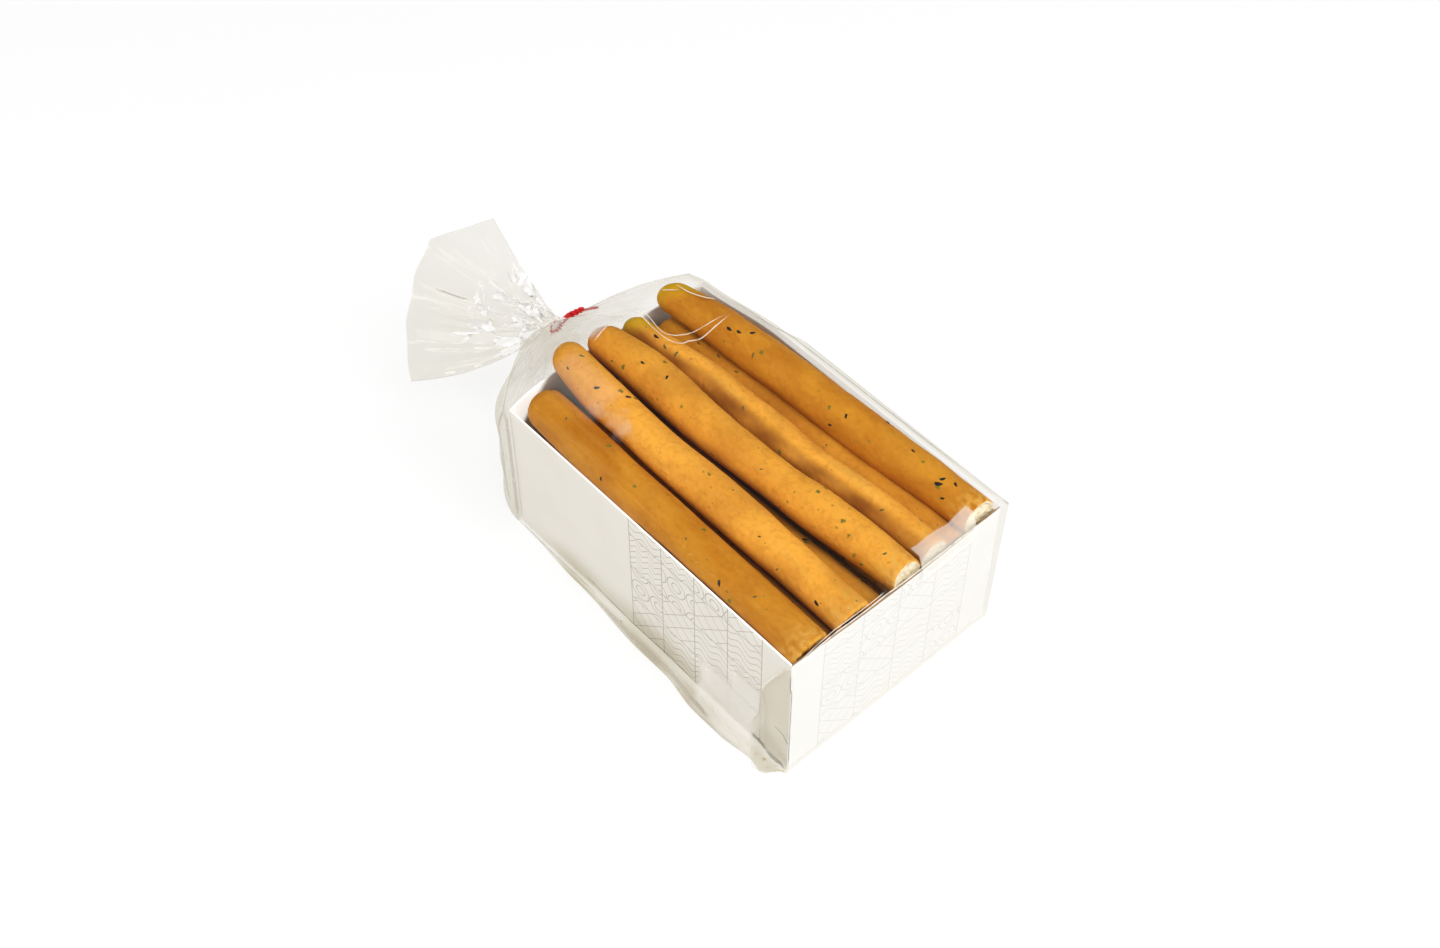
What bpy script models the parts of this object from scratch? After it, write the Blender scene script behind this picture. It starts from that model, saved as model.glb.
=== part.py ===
"""Finger rusk pack: a clear bag of crisp film round an open card tray of finger rusks.

The bag is one closed solid with the film's outer form: square over the tray, crowned over the
rusks that stand above its rim, drawn together behind the tray and spread out as a pleated mouth.
The twist tie is one coated wire that goes once round the neck and is wound on itself.

Frame: the origin is the middle of the tray's underside, +X points to the tray's front end,
away from the tied neck, +Y to the far long side and +Z up. Lengths are in metres.
"""
import math

import bmesh
import bpy
from mathutils import Vector

COLLECTION = "finger_rusk_pack"

# The tray that the film follows
TRAY_LENGTH = 0.180
TRAY_WIDTH = 0.120
TRAY_HEIGHT = 0.078

# How far the film stands off the tray
FILM_FRONT = 0.0015
FILM_NEAR = 0.0012
FILM_RIM = 0.0008

# The film along the far side: it pulls the wall's back end in and stands loose further forward.
# Shares of the tray's length from the back, with how far the film stands off there
FILM_FAR = ((-0.06, -0.0062), (0.0, -0.0040), (0.25, 0.0010), (0.32, 0.0036), (1.0, 0.0034))
FILM_FAR_FOOT = 0.0012

# The top layer of rusks: the place of each one's axis at its back end and at its front end,
# as (y, z) pairs, from the near side to the far side
RUSK_RADIUS = 0.0100
RUSK_FRONT_X = 0.088
RUSK_BACK_X = -0.094
RUSKS = (
    ((-0.049, 0.083), (-0.0505, 0.077)),
    ((-0.029, 0.089), (-0.0265, 0.077)),
    ((-0.008, 0.088), (0.0045, 0.078)),
    ((0.011, 0.086), (0.0265, 0.078)),
    ((0.033, 0.089), (0.0485, 0.078)),
)
RUSK_END_X = -0.084
RUSK_END_RADIUS = 0.012
FILM_OVER_RUSKS = 0.0008
FILM_SAG_RADIUS = 0.018
NEAR_SLOPE = 3.0
FAR_SLOPE = 1.1
FRONT_SLOPE = 4.0

# The loose film along the foot of the near side: shares of the tray's length from the back
# corner to the front corner, with how far the film spreads on the ground there
FOOT_SPREAD = (
    (0.0, 0.0005), (0.25, 0.0029), (0.50, 0.0060), (0.60, 0.0060), (0.73, 0.0090),
    (0.82, 0.0090), (0.93, 0.0070), (0.965, 0.0086), (1.0, 0.0008),
)
FOOT_HEIGHT = 0.030
FOOT_LEAN_POWER = 1.5

# The steps of a ring of the loft along each side of the bag, closer together at the near foot
NEAR_STEPS = 8
NEAR_STEP_POWER = 1.6
TOP_STEPS = 24
FAR_STEPS = 8
BASE_STEPS = 24

# Rings over the tray, from the front end to the back
FRONT_X = TRAY_LENGTH / 2 + FILM_FRONT
EDGE_ROUND = 0.0012
BODY_X = (0.0882, 0.0833, 0.0765, 0.0600, 0.0380, 0.0190, 0.0, -0.0190, -0.0370, -0.0550,
          -0.0720, -0.0840)
BACK_FOOT_X = -TRAY_LENGTH / 2 - 0.0010
BACK_TOP_X = -0.0930

# The gather behind the tray
NECK = Vector((-0.1244, -0.0070, 0.0670))
NECK_RADIUS = 0.0045
NECK_HALF_LENGTH = 0.0026
GATHER_STEPS = 9
GATHER_FOOT_X = -0.1210
GATHER_TOP_X = -0.1140
GATHER_NEAR_REACH = 0.0125
GATHER_HIGH = 0.60
GATHER_HIGH_RANGE = 0.22
GATHER_NEAR_WAIST = 0.55
GATHER_NEAR_DROP = 0.0120
GATHER_FAR_DROP = 0.0210
GATHER_WAIST = 0.30
GATHER_WAIST_POWER = 1.5

# The mouth: an arc round the neck, cut off straight at its upper corner
MOUTH_CENTRE = Vector((-0.1270, -0.0070, 0.0665))
MOUTH_ALONG = Vector((-1.0, 0.0, 0.0))
MOUTH_ACROSS = Vector((0.0, math.sqrt(0.5), math.sqrt(0.5)))
MOUTH_FACE = Vector((0.0, -math.sqrt(0.5), math.sqrt(0.5)))
MOUTH_RADIUS = 0.0865
MOUTH_LOW_ANGLE = math.radians(-52.0)
MOUTH_HIGH_ANGLE = math.radians(18.5)
MOUTH_CUT_DISTANCE = 0.0585
MOUTH_CUT_ANGLE = math.radians(42.4)
MOUTH_STEPS = 10
MOUTH_STEP_POWER = 1.25
MOUTH_THICKNESS = 0.0026
LOW_BULGE = 0.0135
LOW_BULGE_POWER = 0.62
PLEATS = 4.5
PLEAT_DEPTH = 0.0024
PLEAT_MIDDLE = 0.45
PLEAT_FADE = 0.5
MOUTH_CURL = 0.0060
NECK_FLARE_POWER = 3

# The twist tie
WIRE_RADIUS = 0.0007
WIRE_GAP = 0.0003
LOOP_RADIUS = NECK_RADIUS + WIRE_GAP + WIRE_RADIUS
LOOP_STEPS = 24
TWIST_RADIUS = WIRE_RADIUS + WIRE_GAP / 2
TWIST_LENGTH = 0.0064
TWIST_TURNS = 1.5
TWIST_STEPS = 14
TWIST_START = 0.0016
TWIST_DIRECTION = Vector((-0.10, 0.97, -0.20)).normalized()
LOOP_OPENING = math.radians(4.0)
LONG_TAIL = (Vector((-0.0005, 0.0058, -0.0009)), Vector((-0.0010, 0.0118, -0.0028)))
SHORT_TAIL = (Vector((-0.0002, 0.0024, 0.0004)), Vector((-0.0006, 0.0050, 0.0008)))

# Colours and finishes, and the angle from which an edge shows as sharp
FILM_COLOUR = (0.86, 0.85, 0.82)
FILM_ROUGHNESS = 0.12
FILM_ALPHA = 0.5
TIE_COLOUR = (0.62, 0.03, 0.03)
TIE_ROUGHNESS = 0.35
SHARP_ANGLE = math.radians(50.0)

BODY_STEPS = NEAR_STEPS + TOP_STEPS
RING_STEPS = BODY_STEPS + FAR_STEPS + BASE_STEPS
NEAR_Y = -TRAY_WIDTH / 2 - FILM_NEAR
RIM_Z = TRAY_HEIGHT + FILM_RIM


def blend(start, end, share):
    """The value a share of the way from start to end."""
    return start + (end - start) * share


def eased(share):
    """A share from 0 to 1 that starts and ends gently."""
    share = min(max(share, 0.0), 1.0)
    return share * share * (3 - 2 * share)


def clear_scene():
    """Removes every object of the open file."""
    for thing in list(bpy.data.objects):
        bpy.data.objects.remove(thing, do_unlink=True)


def make_collection():
    """A new collection for the pack."""
    collection = bpy.data.collections.new(COLLECTION)
    bpy.context.scene.collection.children.link(collection)
    return collection


def make_material(name, colour, roughness, alpha):
    """A plain Principled material."""
    material = bpy.data.materials.new(name)
    material.use_nodes = True
    shader = material.node_tree.nodes["Principled BSDF"]
    shader.inputs["Base Color"].default_value = (*colour, 1.0)
    shader.inputs["Roughness"].default_value = roughness
    shader.inputs["Metallic"].default_value = 0.0
    shader.inputs["Alpha"].default_value = alpha
    return material


def along(knots, x):
    """The value at x of a line through knots, each a share of the tray's length and a value."""
    share = min(max(x / TRAY_LENGTH + 0.5, knots[0][0]), knots[-1][0])
    for (before, low), (after, high) in zip(knots, knots[1:]):
        if share <= after:
            return blend(low, high, eased((share - before) / (after - before)))
    return knots[-1][1]


def far_y(x):
    """The film's far edge at the height of the rim."""
    return TRAY_WIDTH / 2 + along(FILM_FAR, x)


def film_top(x, y):
    """The film's height over the rusks: it hangs a little between one rusk and the next."""
    share = (x - RUSK_BACK_X) / (RUSK_FRONT_X - RUSK_BACK_X)
    height = RIM_Z
    for back, front in RUSKS:
        axis_y = blend(back[0], front[0], share)
        axis_z = blend(back[1], front[1], share)
        crest = axis_z + RUSK_RADIUS + FILM_OVER_RUSKS
        height = max(height, crest - (y - axis_y) ** 2 / (2 * FILM_SAG_RADIUS))
    height -= max(RUSK_END_X - x, 0.0) ** 2 / (2 * RUSK_END_RADIUS)
    rise = min(NEAR_SLOPE * (y - NEAR_Y), FAR_SLOPE * (far_y(x) - y), FRONT_SLOPE * (FRONT_X - x))
    return min(height, RIM_Z + max(rise, 0.0))


def section(x, inset=0.0):
    """The bag's outline over the tray at x, as (y, z) pairs from the near lower corner up."""
    points = []
    spread = along(FOOT_SPREAD, x)
    far_top = far_y(x)
    far_foot = TRAY_WIDTH / 2 + FILM_FAR_FOOT
    for step in range(NEAR_STEPS):
        z = RIM_Z * (step / NEAR_STEPS) ** NEAR_STEP_POWER
        lean = max(1 - z / FOOT_HEIGHT, 0.0) ** FOOT_LEAN_POWER
        points.append((NEAR_Y - spread * lean, z))
    for step in range(TOP_STEPS):
        y = blend(NEAR_Y, far_top, step / TOP_STEPS)
        points.append((y, film_top(x, y)))
    for step in range(FAR_STEPS):
        down = step / FAR_STEPS
        points.append((blend(far_top, far_foot, down), RIM_Z * (1 - down)))
    for step in range(BASE_STEPS):
        points.append((blend(far_foot, NEAR_Y - spread, step / BASE_STEPS), 0.0))
    return [(y - math.copysign(inset, y), max(z, inset)) for y, z in points]


def ring_angle(step):
    """The direction round the neck that a step of the ring comes to, seen along the bag."""
    sides = (
        (0, NEAR_STEPS, 225, 135),
        (NEAR_STEPS, BODY_STEPS, 135, 45),
        (BODY_STEPS, BODY_STEPS + FAR_STEPS, 45, -45),
        (BODY_STEPS + FAR_STEPS, RING_STEPS, -45, -135),
    )
    for first, last, start, end in sides:
        if step < last:
            return math.radians(blend(start, end, (step - first) / (last - first)))
    return math.radians(sides[-1][3])


def neck_ring(x):
    """A round ring of the neck at x."""
    points = []
    for step in range(RING_STEPS):
        angle = ring_angle(step)
        around = Vector((0.0, math.cos(angle), math.sin(angle)))
        points.append(Vector((x, NECK.y, NECK.z)) + around * NECK_RADIUS)
    return points


def gather_rings():
    """The rings from the tray's back end to the neck: each thread of film curves inwards."""
    start = section(BACK_TOP_X)
    end = neck_ring(NECK.x + NECK_HALF_LENGTH)
    crown = max(z for _, z in start)
    rings = []
    for ring in range(GATHER_STEPS):
        share = ring / GATHER_STEPS
        points = []
        for (y, z), goal in zip(start, end):
            rise = z / crown
            first = Vector((blend(BACK_FOOT_X, BACK_TOP_X, rise), y, z))
            across = min(max(y / TRAY_WIDTH + 0.5, 0.0), 1.0)
            high = eased((rise - GATHER_HIGH) / GATHER_HIGH_RANGE)
            top_x = GATHER_TOP_X - GATHER_NEAR_REACH * (1 - across) ** 3
            pull_x = blend(GATHER_FOOT_X, top_x, high)
            waist = 1 - GATHER_WAIST * math.sin(math.pi * across) ** GATHER_WAIST_POWER
            waist -= GATHER_NEAR_WAIST * high * (1 - across) ** 2
            drop = blend(GATHER_NEAR_DROP, GATHER_FAR_DROP, across)
            pull = Vector((pull_x, y * waist, z - drop * rise))
            points.append(
                first * (1 - share) ** 2 + pull * (2 * share * (1 - share)) + goal * share**2
            )
        rings.append(points)
    return rings


def mouth_point(step, share):
    """A point of the spread mouth: share goes from the neck to the mouth's edge."""
    upper = step <= BODY_STEPS
    across = step / BODY_STEPS if upper else (RING_STEPS - step) / (RING_STEPS - BODY_STEPS)
    angle = blend(MOUTH_LOW_ANGLE, MOUTH_HIGH_ANGLE, across)
    toward_cut = max(math.cos(angle - MOUTH_CUT_ANGLE), MOUTH_CUT_DISTANCE / MOUTH_RADIUS)
    radius = MOUTH_CUT_DISTANCE / toward_cut * share
    point = MOUTH_CENTRE + (MOUTH_ALONG * math.cos(angle) + MOUTH_ACROSS * math.sin(angle)) * radius
    swell = math.sin(math.pi * share**LOW_BULGE_POWER)
    point -= MOUTH_ACROSS * (LOW_BULGE * swell * (1 - across) ** 2)
    side = 1.0 if upper else -1.0
    round_edge = math.sqrt(max(math.sin(math.pi * across), 0.0))
    pleat = PLEAT_DEPTH * math.sin(2 * math.pi * PLEATS * across) * math.sin(math.pi * across)
    pleat *= min(share / PLEAT_MIDDLE, 1 - PLEAT_FADE * (share - PLEAT_MIDDLE))
    curl = MOUTH_CURL * (0.25 - (across - 0.5) ** 2) * share
    lift = pleat + curl + side * MOUTH_THICKNESS / 2 * round_edge
    ease = (1 - share) ** NECK_FLARE_POWER
    neck = neck_ring(NECK.x - NECK_HALF_LENGTH)[step % RING_STEPS]
    return blend(point + MOUTH_FACE * lift, neck, ease)


def mouth_rings():
    """The rings from the neck to the mouth's edge, closer together near the neck."""
    rings = []
    for ring in range(1, MOUTH_STEPS + 1):
        share = (ring / MOUTH_STEPS) ** MOUTH_STEP_POWER
        rings.append([mouth_point(step, share) for step in range(RING_STEPS)])
    return rings


def body_rings():
    """The rings over the tray, with the front edges a little rounded."""
    rings = []
    for x, inset in ((FRONT_X, EDGE_ROUND), (FRONT_X - EDGE_ROUND / 3, EDGE_ROUND / 3)):
        rings.append([Vector((x, y, z)) for y, z in section(x, inset)])
    for x in BODY_X:
        rings.append([Vector((x, y, z)) for y, z in section(x)])
    return rings


def close_end(mesh, ring, forwards):
    """Closes an end of the loft with a strip of faces from one side of the ring to the other."""
    count = len(ring)
    for step in range(BODY_STEPS):
        across = (count - step) % count
        corners = [ring[step], ring[step + 1], ring[count - step - 1], ring[across]]
        corners = list(dict.fromkeys(corners))
        mesh.faces.new(corners if forwards else corners[::-1])


def build_bag(collection):
    """The film bag as one closed loft."""
    rings = body_rings() + gather_rings()
    rings += [neck_ring(NECK.x + NECK_HALF_LENGTH), neck_ring(NECK.x - NECK_HALF_LENGTH)]
    rings += mouth_rings()
    mesh = bmesh.new()
    loops = [[mesh.verts.new(point) for point in ring] for ring in rings]
    for front, back in zip(loops, loops[1:]):
        for step in range(RING_STEPS):
            after = (step + 1) % RING_STEPS
            mesh.faces.new((front[step], back[step], back[after], front[after]))
    close_end(mesh, loops[0], True)
    close_end(mesh, loops[-1], False)
    bmesh.ops.triangulate(mesh, faces=mesh.faces[:])
    bmesh.ops.recalc_face_normals(mesh, faces=mesh.faces[:])
    data = bpy.data.meshes.new("bag")
    mesh.to_mesh(data)
    mesh.free()
    data.shade_smooth()
    data.set_sharp_from_angle(angle=SHARP_ANGLE)
    bag = bpy.data.objects.new("bag", data)
    collection.objects.link(bag)
    data.materials.append(make_material("clear_film", FILM_COLOUR, FILM_ROUGHNESS, FILM_ALPHA))


def twist_frame():
    """The start of the twisted stem beside the neck, and the two directions across it."""
    start = NECK + Vector((0.0, LOOP_RADIUS + TWIST_START, 0.0))
    sideways = TWIST_DIRECTION.cross(Vector((0.0, 0.0, 1.0))).normalized()
    upward = sideways.cross(TWIST_DIRECTION).normalized()
    return start, sideways, upward


def twist_strand(phase):
    """One strand of the twisted stem, from the neck outwards."""
    start, sideways, upward = twist_frame()
    points = []
    for step in range(TWIST_STEPS + 1):
        share = step / TWIST_STEPS
        turn = phase + 2 * math.pi * TWIST_TURNS * share
        offset = upward * math.cos(turn) + sideways * math.sin(turn)
        points.append(start + TWIST_DIRECTION * (TWIST_LENGTH * share) + offset * TWIST_RADIUS)
    return points


def build_twist_tie(collection):
    """The wire: tail, stem, once round the neck, stem again and the other tail."""
    over = twist_strand(0.0)
    under = twist_strand(math.pi)
    opening = math.asin(TWIST_RADIUS / LOOP_RADIUS) + LOOP_OPENING
    loop = []
    for step in range(LOOP_STEPS + 1):
        angle = blend(opening, 2 * math.pi - opening, step / LOOP_STEPS)
        around = Vector((0.0, math.cos(angle), math.sin(angle)))
        loop.append(NECK + around * LOOP_RADIUS)
    long_tail = [over[-1] + step for step in LONG_TAIL]
    short_tail = [under[-1] + step for step in SHORT_TAIL]
    points = long_tail[::-1] + over[::-1] + loop + under + short_tail
    curve = bpy.data.curves.new("twist_tie", "CURVE")
    curve.dimensions = "3D"
    spline = curve.splines.new("POLY")
    spline.points.add(len(points) - 1)
    for place, point in zip(spline.points, points):
        place.co = (*point, 1.0)
    curve.bevel_depth = WIRE_RADIUS
    curve.bevel_resolution = 2
    curve.use_fill_caps = True
    tie = bpy.data.objects.new("twist_tie", curve)
    collection.objects.link(tie)
    curve.materials.append(make_material("red_tie", TIE_COLOUR, TIE_ROUGHNESS, 1.0))


def main():
    """Builds the pack."""
    clear_scene()
    collection = make_collection()
    build_bag(collection)
    build_twist_tie(collection)


main()
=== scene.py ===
"""Finger rusk pack, dressed: long golden rusks in an open card tray, in a tied clear film bag.

The frame is the CAD model's: the origin is the middle of the tray's underside, +X points to the
tray's front end, away from the tied neck, +Y to the far long side and +Z up. Lengths are metres.
"""

import logging
import math
import random
from dataclasses import dataclass, field
from enum import Enum
from itertools import accumulate
from typing import Callable, ClassVar, Optional, Sequence, Union

import bmesh
import bpy
from bmesh.types import BMesh
from bpy.types import Material, NodeSocket, Object, Scene
from mathutils import Matrix, Vector, noise
from mathutils.bvhtree import BVHTree


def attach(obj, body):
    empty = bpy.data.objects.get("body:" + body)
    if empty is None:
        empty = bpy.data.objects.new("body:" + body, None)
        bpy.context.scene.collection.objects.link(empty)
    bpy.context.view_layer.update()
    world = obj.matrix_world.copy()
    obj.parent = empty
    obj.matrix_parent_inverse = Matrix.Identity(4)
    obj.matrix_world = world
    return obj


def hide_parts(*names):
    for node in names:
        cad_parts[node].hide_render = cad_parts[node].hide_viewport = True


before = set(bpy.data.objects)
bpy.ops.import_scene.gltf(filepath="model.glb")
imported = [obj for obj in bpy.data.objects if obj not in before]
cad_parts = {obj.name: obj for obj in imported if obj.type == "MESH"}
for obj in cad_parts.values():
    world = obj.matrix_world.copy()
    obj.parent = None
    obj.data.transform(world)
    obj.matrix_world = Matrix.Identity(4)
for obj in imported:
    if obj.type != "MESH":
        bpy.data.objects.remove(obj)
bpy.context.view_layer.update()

LOG = logging.getLogger("finger_rusk_pack")
BODY = "root"
NECK = Vector((-0.1244, -0.0070, 0.0670))
Colour = tuple[float, float, float]
Route = tuple[tuple[float, float, float], ...]
Place = Callable[[float, float], Vector]


class Slot(Enum):
    """The record's material slots."""

    FILM = "clear_film"
    CARD = "tray_card"
    CRUST = "rusk_crust"
    TIE = "red_tie"


def blend(start: Union[float, Vector], end: Union[float, Vector],
          share: float) -> Union[float, Vector]:
    """The value a share of the way from start to end."""
    return start + (end - start) * share


def ease(share: float) -> float:
    """A smooth step from 0 to 1."""
    share = min(max(share, 0.0), 1.0)
    return share * share * (3 - 2 * share)


def curve_at(knots: Sequence[Sequence[float]], x: float) -> list[float]:
    """The values at x of a smooth curve through knots.

    Args:
        knots: Rows of x and the values there, in rising order of x.
        x: Where the curve is read. Past the ends it goes on straight.

    Returns:
        The values at x.
    """
    last = len(knots) - 2
    span = 0
    while span < last and x > knots[span + 1][0]:
        span += 1
    before, start, end, after = (knots[max(span - 1, 0)], knots[span], knots[span + 1],
                                 knots[min(span + 2, last + 1)])
    share = (x - start[0]) / (end[0] - start[0])
    width = end[0] - start[0]
    values = []
    for place in range(1, len(start)):
        low, high = start[place], end[place]
        leave = (high - before[place]) / (end[0] - before[0]) * width
        arrive = (after[place] - low) / (after[0] - start[0]) * width
        if share < 0:
            values.append(low + leave * share)
        elif share > 1:
            values.append(high + arrive * (share - 1))
        else:
            square, cube = share * share, share * share * share
            values.append(low * (2 * cube - 3 * square + 1) + leave * (cube - 2 * square + share)
                          + high * (3 * square - 2 * cube) + arrive * (cube - square))
    return values


def numbered(points: Sequence[Sequence[float]]) -> list[tuple[float, ...]]:
    """Points as the knots of a curve, at 0, 1, 2 and so on."""
    return [(float(place), *point) for place, point in enumerate(points)]


def rough(point: Vector, size: float, seed: float = 0.0) -> float:
    """Smooth noise from about -1 to 1 with bumps of a size in metres."""
    return noise.noise(point / size + Vector((seed, seed * 1.7, -seed)))


class Signal:
    """A shader socket; arithmetic on it adds Math nodes."""

    def __init__(self, shader: "Shader", socket: NodeSocket) -> None:
        """Wraps a socket of a shader's node."""
        self.shader = shader
        self.socket = socket

    def other(self, name: str) -> "Signal":
        """Another output of the same node."""
        return Signal(self.shader, self.socket.node.outputs[name])

    def maths(self, operation: str, *values: Union["Signal", float]) -> "Signal":
        """The result of a Math node on values."""
        return self.shader.node("ShaderNodeMath", {"operation": operation},
                                dict(enumerate(values)))

    def __add__(self, other: Union["Signal", float]) -> "Signal":
        """Sum."""
        return self.maths("ADD", self, other)

    __radd__ = __add__

    def __sub__(self, other: Union["Signal", float]) -> "Signal":
        """Difference."""
        return self.maths("SUBTRACT", self, other)

    def __rsub__(self, other: float) -> "Signal":
        """Difference from a number."""
        return self.maths("SUBTRACT", other, self)

    def __mul__(self, other: Union["Signal", float]) -> "Signal":
        """Product."""
        return self.maths("MULTIPLY", self, other)

    __rmul__ = __mul__

    def __truediv__(self, other: Union["Signal", float]) -> "Signal":
        """Quotient."""
        return self.maths("DIVIDE", self, other)

    def __pow__(self, other: float) -> "Signal":
        """Power."""
        return self.maths("POWER", self, other)

    def __mod__(self, other: float) -> "Signal":
        """Remainder that is never negative."""
        return self.maths("FLOORED_MODULO", self, other)

    def __abs__(self) -> "Signal":
        """Size without sign."""
        return self.maths("ABSOLUTE", self)

    def __lt__(self, other: Union["Signal", float]) -> "Signal":
        """1 where this is less than the other, 0 elsewhere."""
        return self.maths("LESS_THAN", self, other)

    def __gt__(self, other: Union["Signal", float]) -> "Signal":
        """1 where this is more than the other, 0 elsewhere."""
        return self.maths("GREATER_THAN", self, other)

    def sin(self) -> "Signal":
        """Sine."""
        return self.maths("SINE", self)

    def floor(self) -> "Signal":
        """The whole number below."""
        return self.maths("FLOOR", self)

    def least(self, other: Union["Signal", float]) -> "Signal":
        """The smaller of two."""
        return self.maths("MINIMUM", self, other)

    def most(self, other: Union["Signal", float]) -> "Signal":
        """The larger of two."""
        return self.maths("MAXIMUM", self, other)

    def root(self) -> "Signal":
        """Square root."""
        return self.maths("SQRT", self)

    def step(self, low: float, high: float) -> "Signal":
        """A smooth step that is 0 at low and 1 at high; low may be the larger."""
        return self.shader.node("ShaderNodeMapRange", {"interpolation_type": "SMOOTHSTEP"},
                                {"Value": self, "From Min": low, "From Max": high})


class Shader:
    """A node material under construction.

    Attributes:
        mix_sockets: The colour mix's factor, start and end among its inputs, and mix_result
            its result among its outputs.
        most_cover: The largest share that an upper shader takes.
    """

    mix_sockets: ClassVar[tuple[int, int, int]] = (0, 6, 7)
    mix_result: ClassVar[int] = 2
    most_cover: ClassVar[float] = 0.95

    def __init__(self, name: str) -> None:
        """Starts an empty node material.

        Args:
            name: The material's name.
        """
        self.material = bpy.data.materials.new(name)
        self.material.use_nodes = True
        self.tree = self.material.node_tree
        self.tree.nodes.clear()

    def node(self, kind: str, settings: Optional[dict] = None, inputs: Optional[dict] = None,
             output: Union[int, str] = 0) -> Signal:
        """Adds a node.

        Args:
            kind: The node's type.
            settings: Its properties.
            inputs: Values or signals of its sockets, by name or number.
            output: The output to return.

        Returns:
            The output as a signal.
        """
        made = self.tree.nodes.new(kind)
        for key, value in (settings or {}).items():
            setattr(made, key, value)
        for key, value in (inputs or {}).items():
            socket = made.inputs[key]
            if isinstance(value, Signal):
                self.tree.links.new(value.socket, socket)
            elif socket.type == "RGBA":
                socket.default_value = (*value, 1.0)
            else:
                socket.default_value = value
        return Signal(self, made.outputs[output])

    def place(self) -> Signal:
        """The point in the pack's frame."""
        return self.node("ShaderNodeTexCoord", output="Object")

    def axes(self, vector: Optional[Signal] = None) -> tuple[Signal, Signal, Signal]:
        """The three parts of a vector, or of the point in the pack's frame."""
        first = self.node("ShaderNodeSeparateXYZ", None, {0: vector or self.place()})
        return first, first.other("Y"), first.other("Z")

    def unwrapped(self) -> tuple[Signal, Signal]:
        """The piece's own UV place."""
        across, along, _ = self.axes(self.node("ShaderNodeUVMap", {"uv_map": "UVMap"}))
        return across, along

    def attribute(self, name: str) -> tuple[Signal, Signal, Signal, Signal]:
        """The four channels of the piece's own colour attribute.

        Args:
            name: The attribute's name.

        Returns:
            Red, green, blue and alpha.
        """
        made = self.node("ShaderNodeAttribute", {"attribute_name": name}, output="Color")
        first = self.node("ShaderNodeSeparateColor", None, {0: made})
        return first, first.other("Green"), first.other("Blue"), made.other("Alpha")

    def stretched(self, scale: Sequence[float], vector: Optional[Signal] = None) -> Signal:
        """A vector, or the point in the pack's frame, with its parts scaled."""
        return self.node("ShaderNodeMapping", None,
                         {"Vector": vector or self.place(), "Scale": tuple(scale)})

    def noise(self, scale: float, detail: float = 2.0, vector: Optional[Signal] = None,
              distortion: float = 0.0) -> Signal:
        """Cloudy noise.

        Args:
            scale: Bumps per metre.
            detail: How many finer layers it has.
            vector: Where it is read, if not at the point itself.
            distortion: How much it is swirled.

        Returns:
            The noise, from 0 to 1.
        """
        return self.node("ShaderNodeTexNoise", None,
                         {"Vector": vector or self.place(), "Scale": scale, "Detail": detail,
                          "Distortion": distortion})

    def cells(self, scale: float, vector: Optional[Signal] = None) -> Signal:
        """The distance to the nearest of scattered points."""
        return self.node("ShaderNodeTexVoronoi", None,
                         {"Vector": vector or self.place(), "Scale": scale}, "Distance")

    def mix(self, share: Union[Signal, float], start: Union[Signal, Colour],
            end: Union[Signal, Colour]) -> Signal:
        """A colour a share of the way from start to end."""
        return self.node("ShaderNodeMix", {"data_type": "RGBA"},
                         dict(zip(self.mix_sockets, (share, start, end))), self.mix_result)

    def bump(self, height: Signal, distance: float, strength: float = 1.0) -> Signal:
        """A normal bent by a height from 0 to 1 that stands for a distance in metres."""
        return self.node("ShaderNodeBump", None,
                         {"Height": height, "Distance": distance, "Strength": strength})

    def principled(self, inputs: dict) -> Signal:
        """A Principled shader."""
        return self.node("ShaderNodeBsdfPrincipled", None, inputs)

    def layer(self, share: Signal, under: Signal, over: Signal) -> Signal:
        """One shader over another; share is how much of the upper one shows."""
        return self.node("ShaderNodeMixShader", None,
                         {0: share.least(self.most_cover), 1: under, 2: over})

    def finish(self, surface: Signal) -> Material:
        """Connects the surface and gives the finished material.

        Args:
            surface: The surface's shader.

        Returns:
            The material.
        """
        output = self.tree.nodes.new("ShaderNodeOutputMaterial")
        self.tree.links.new(surface.socket, output.inputs["Surface"])
        return self.material


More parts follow.
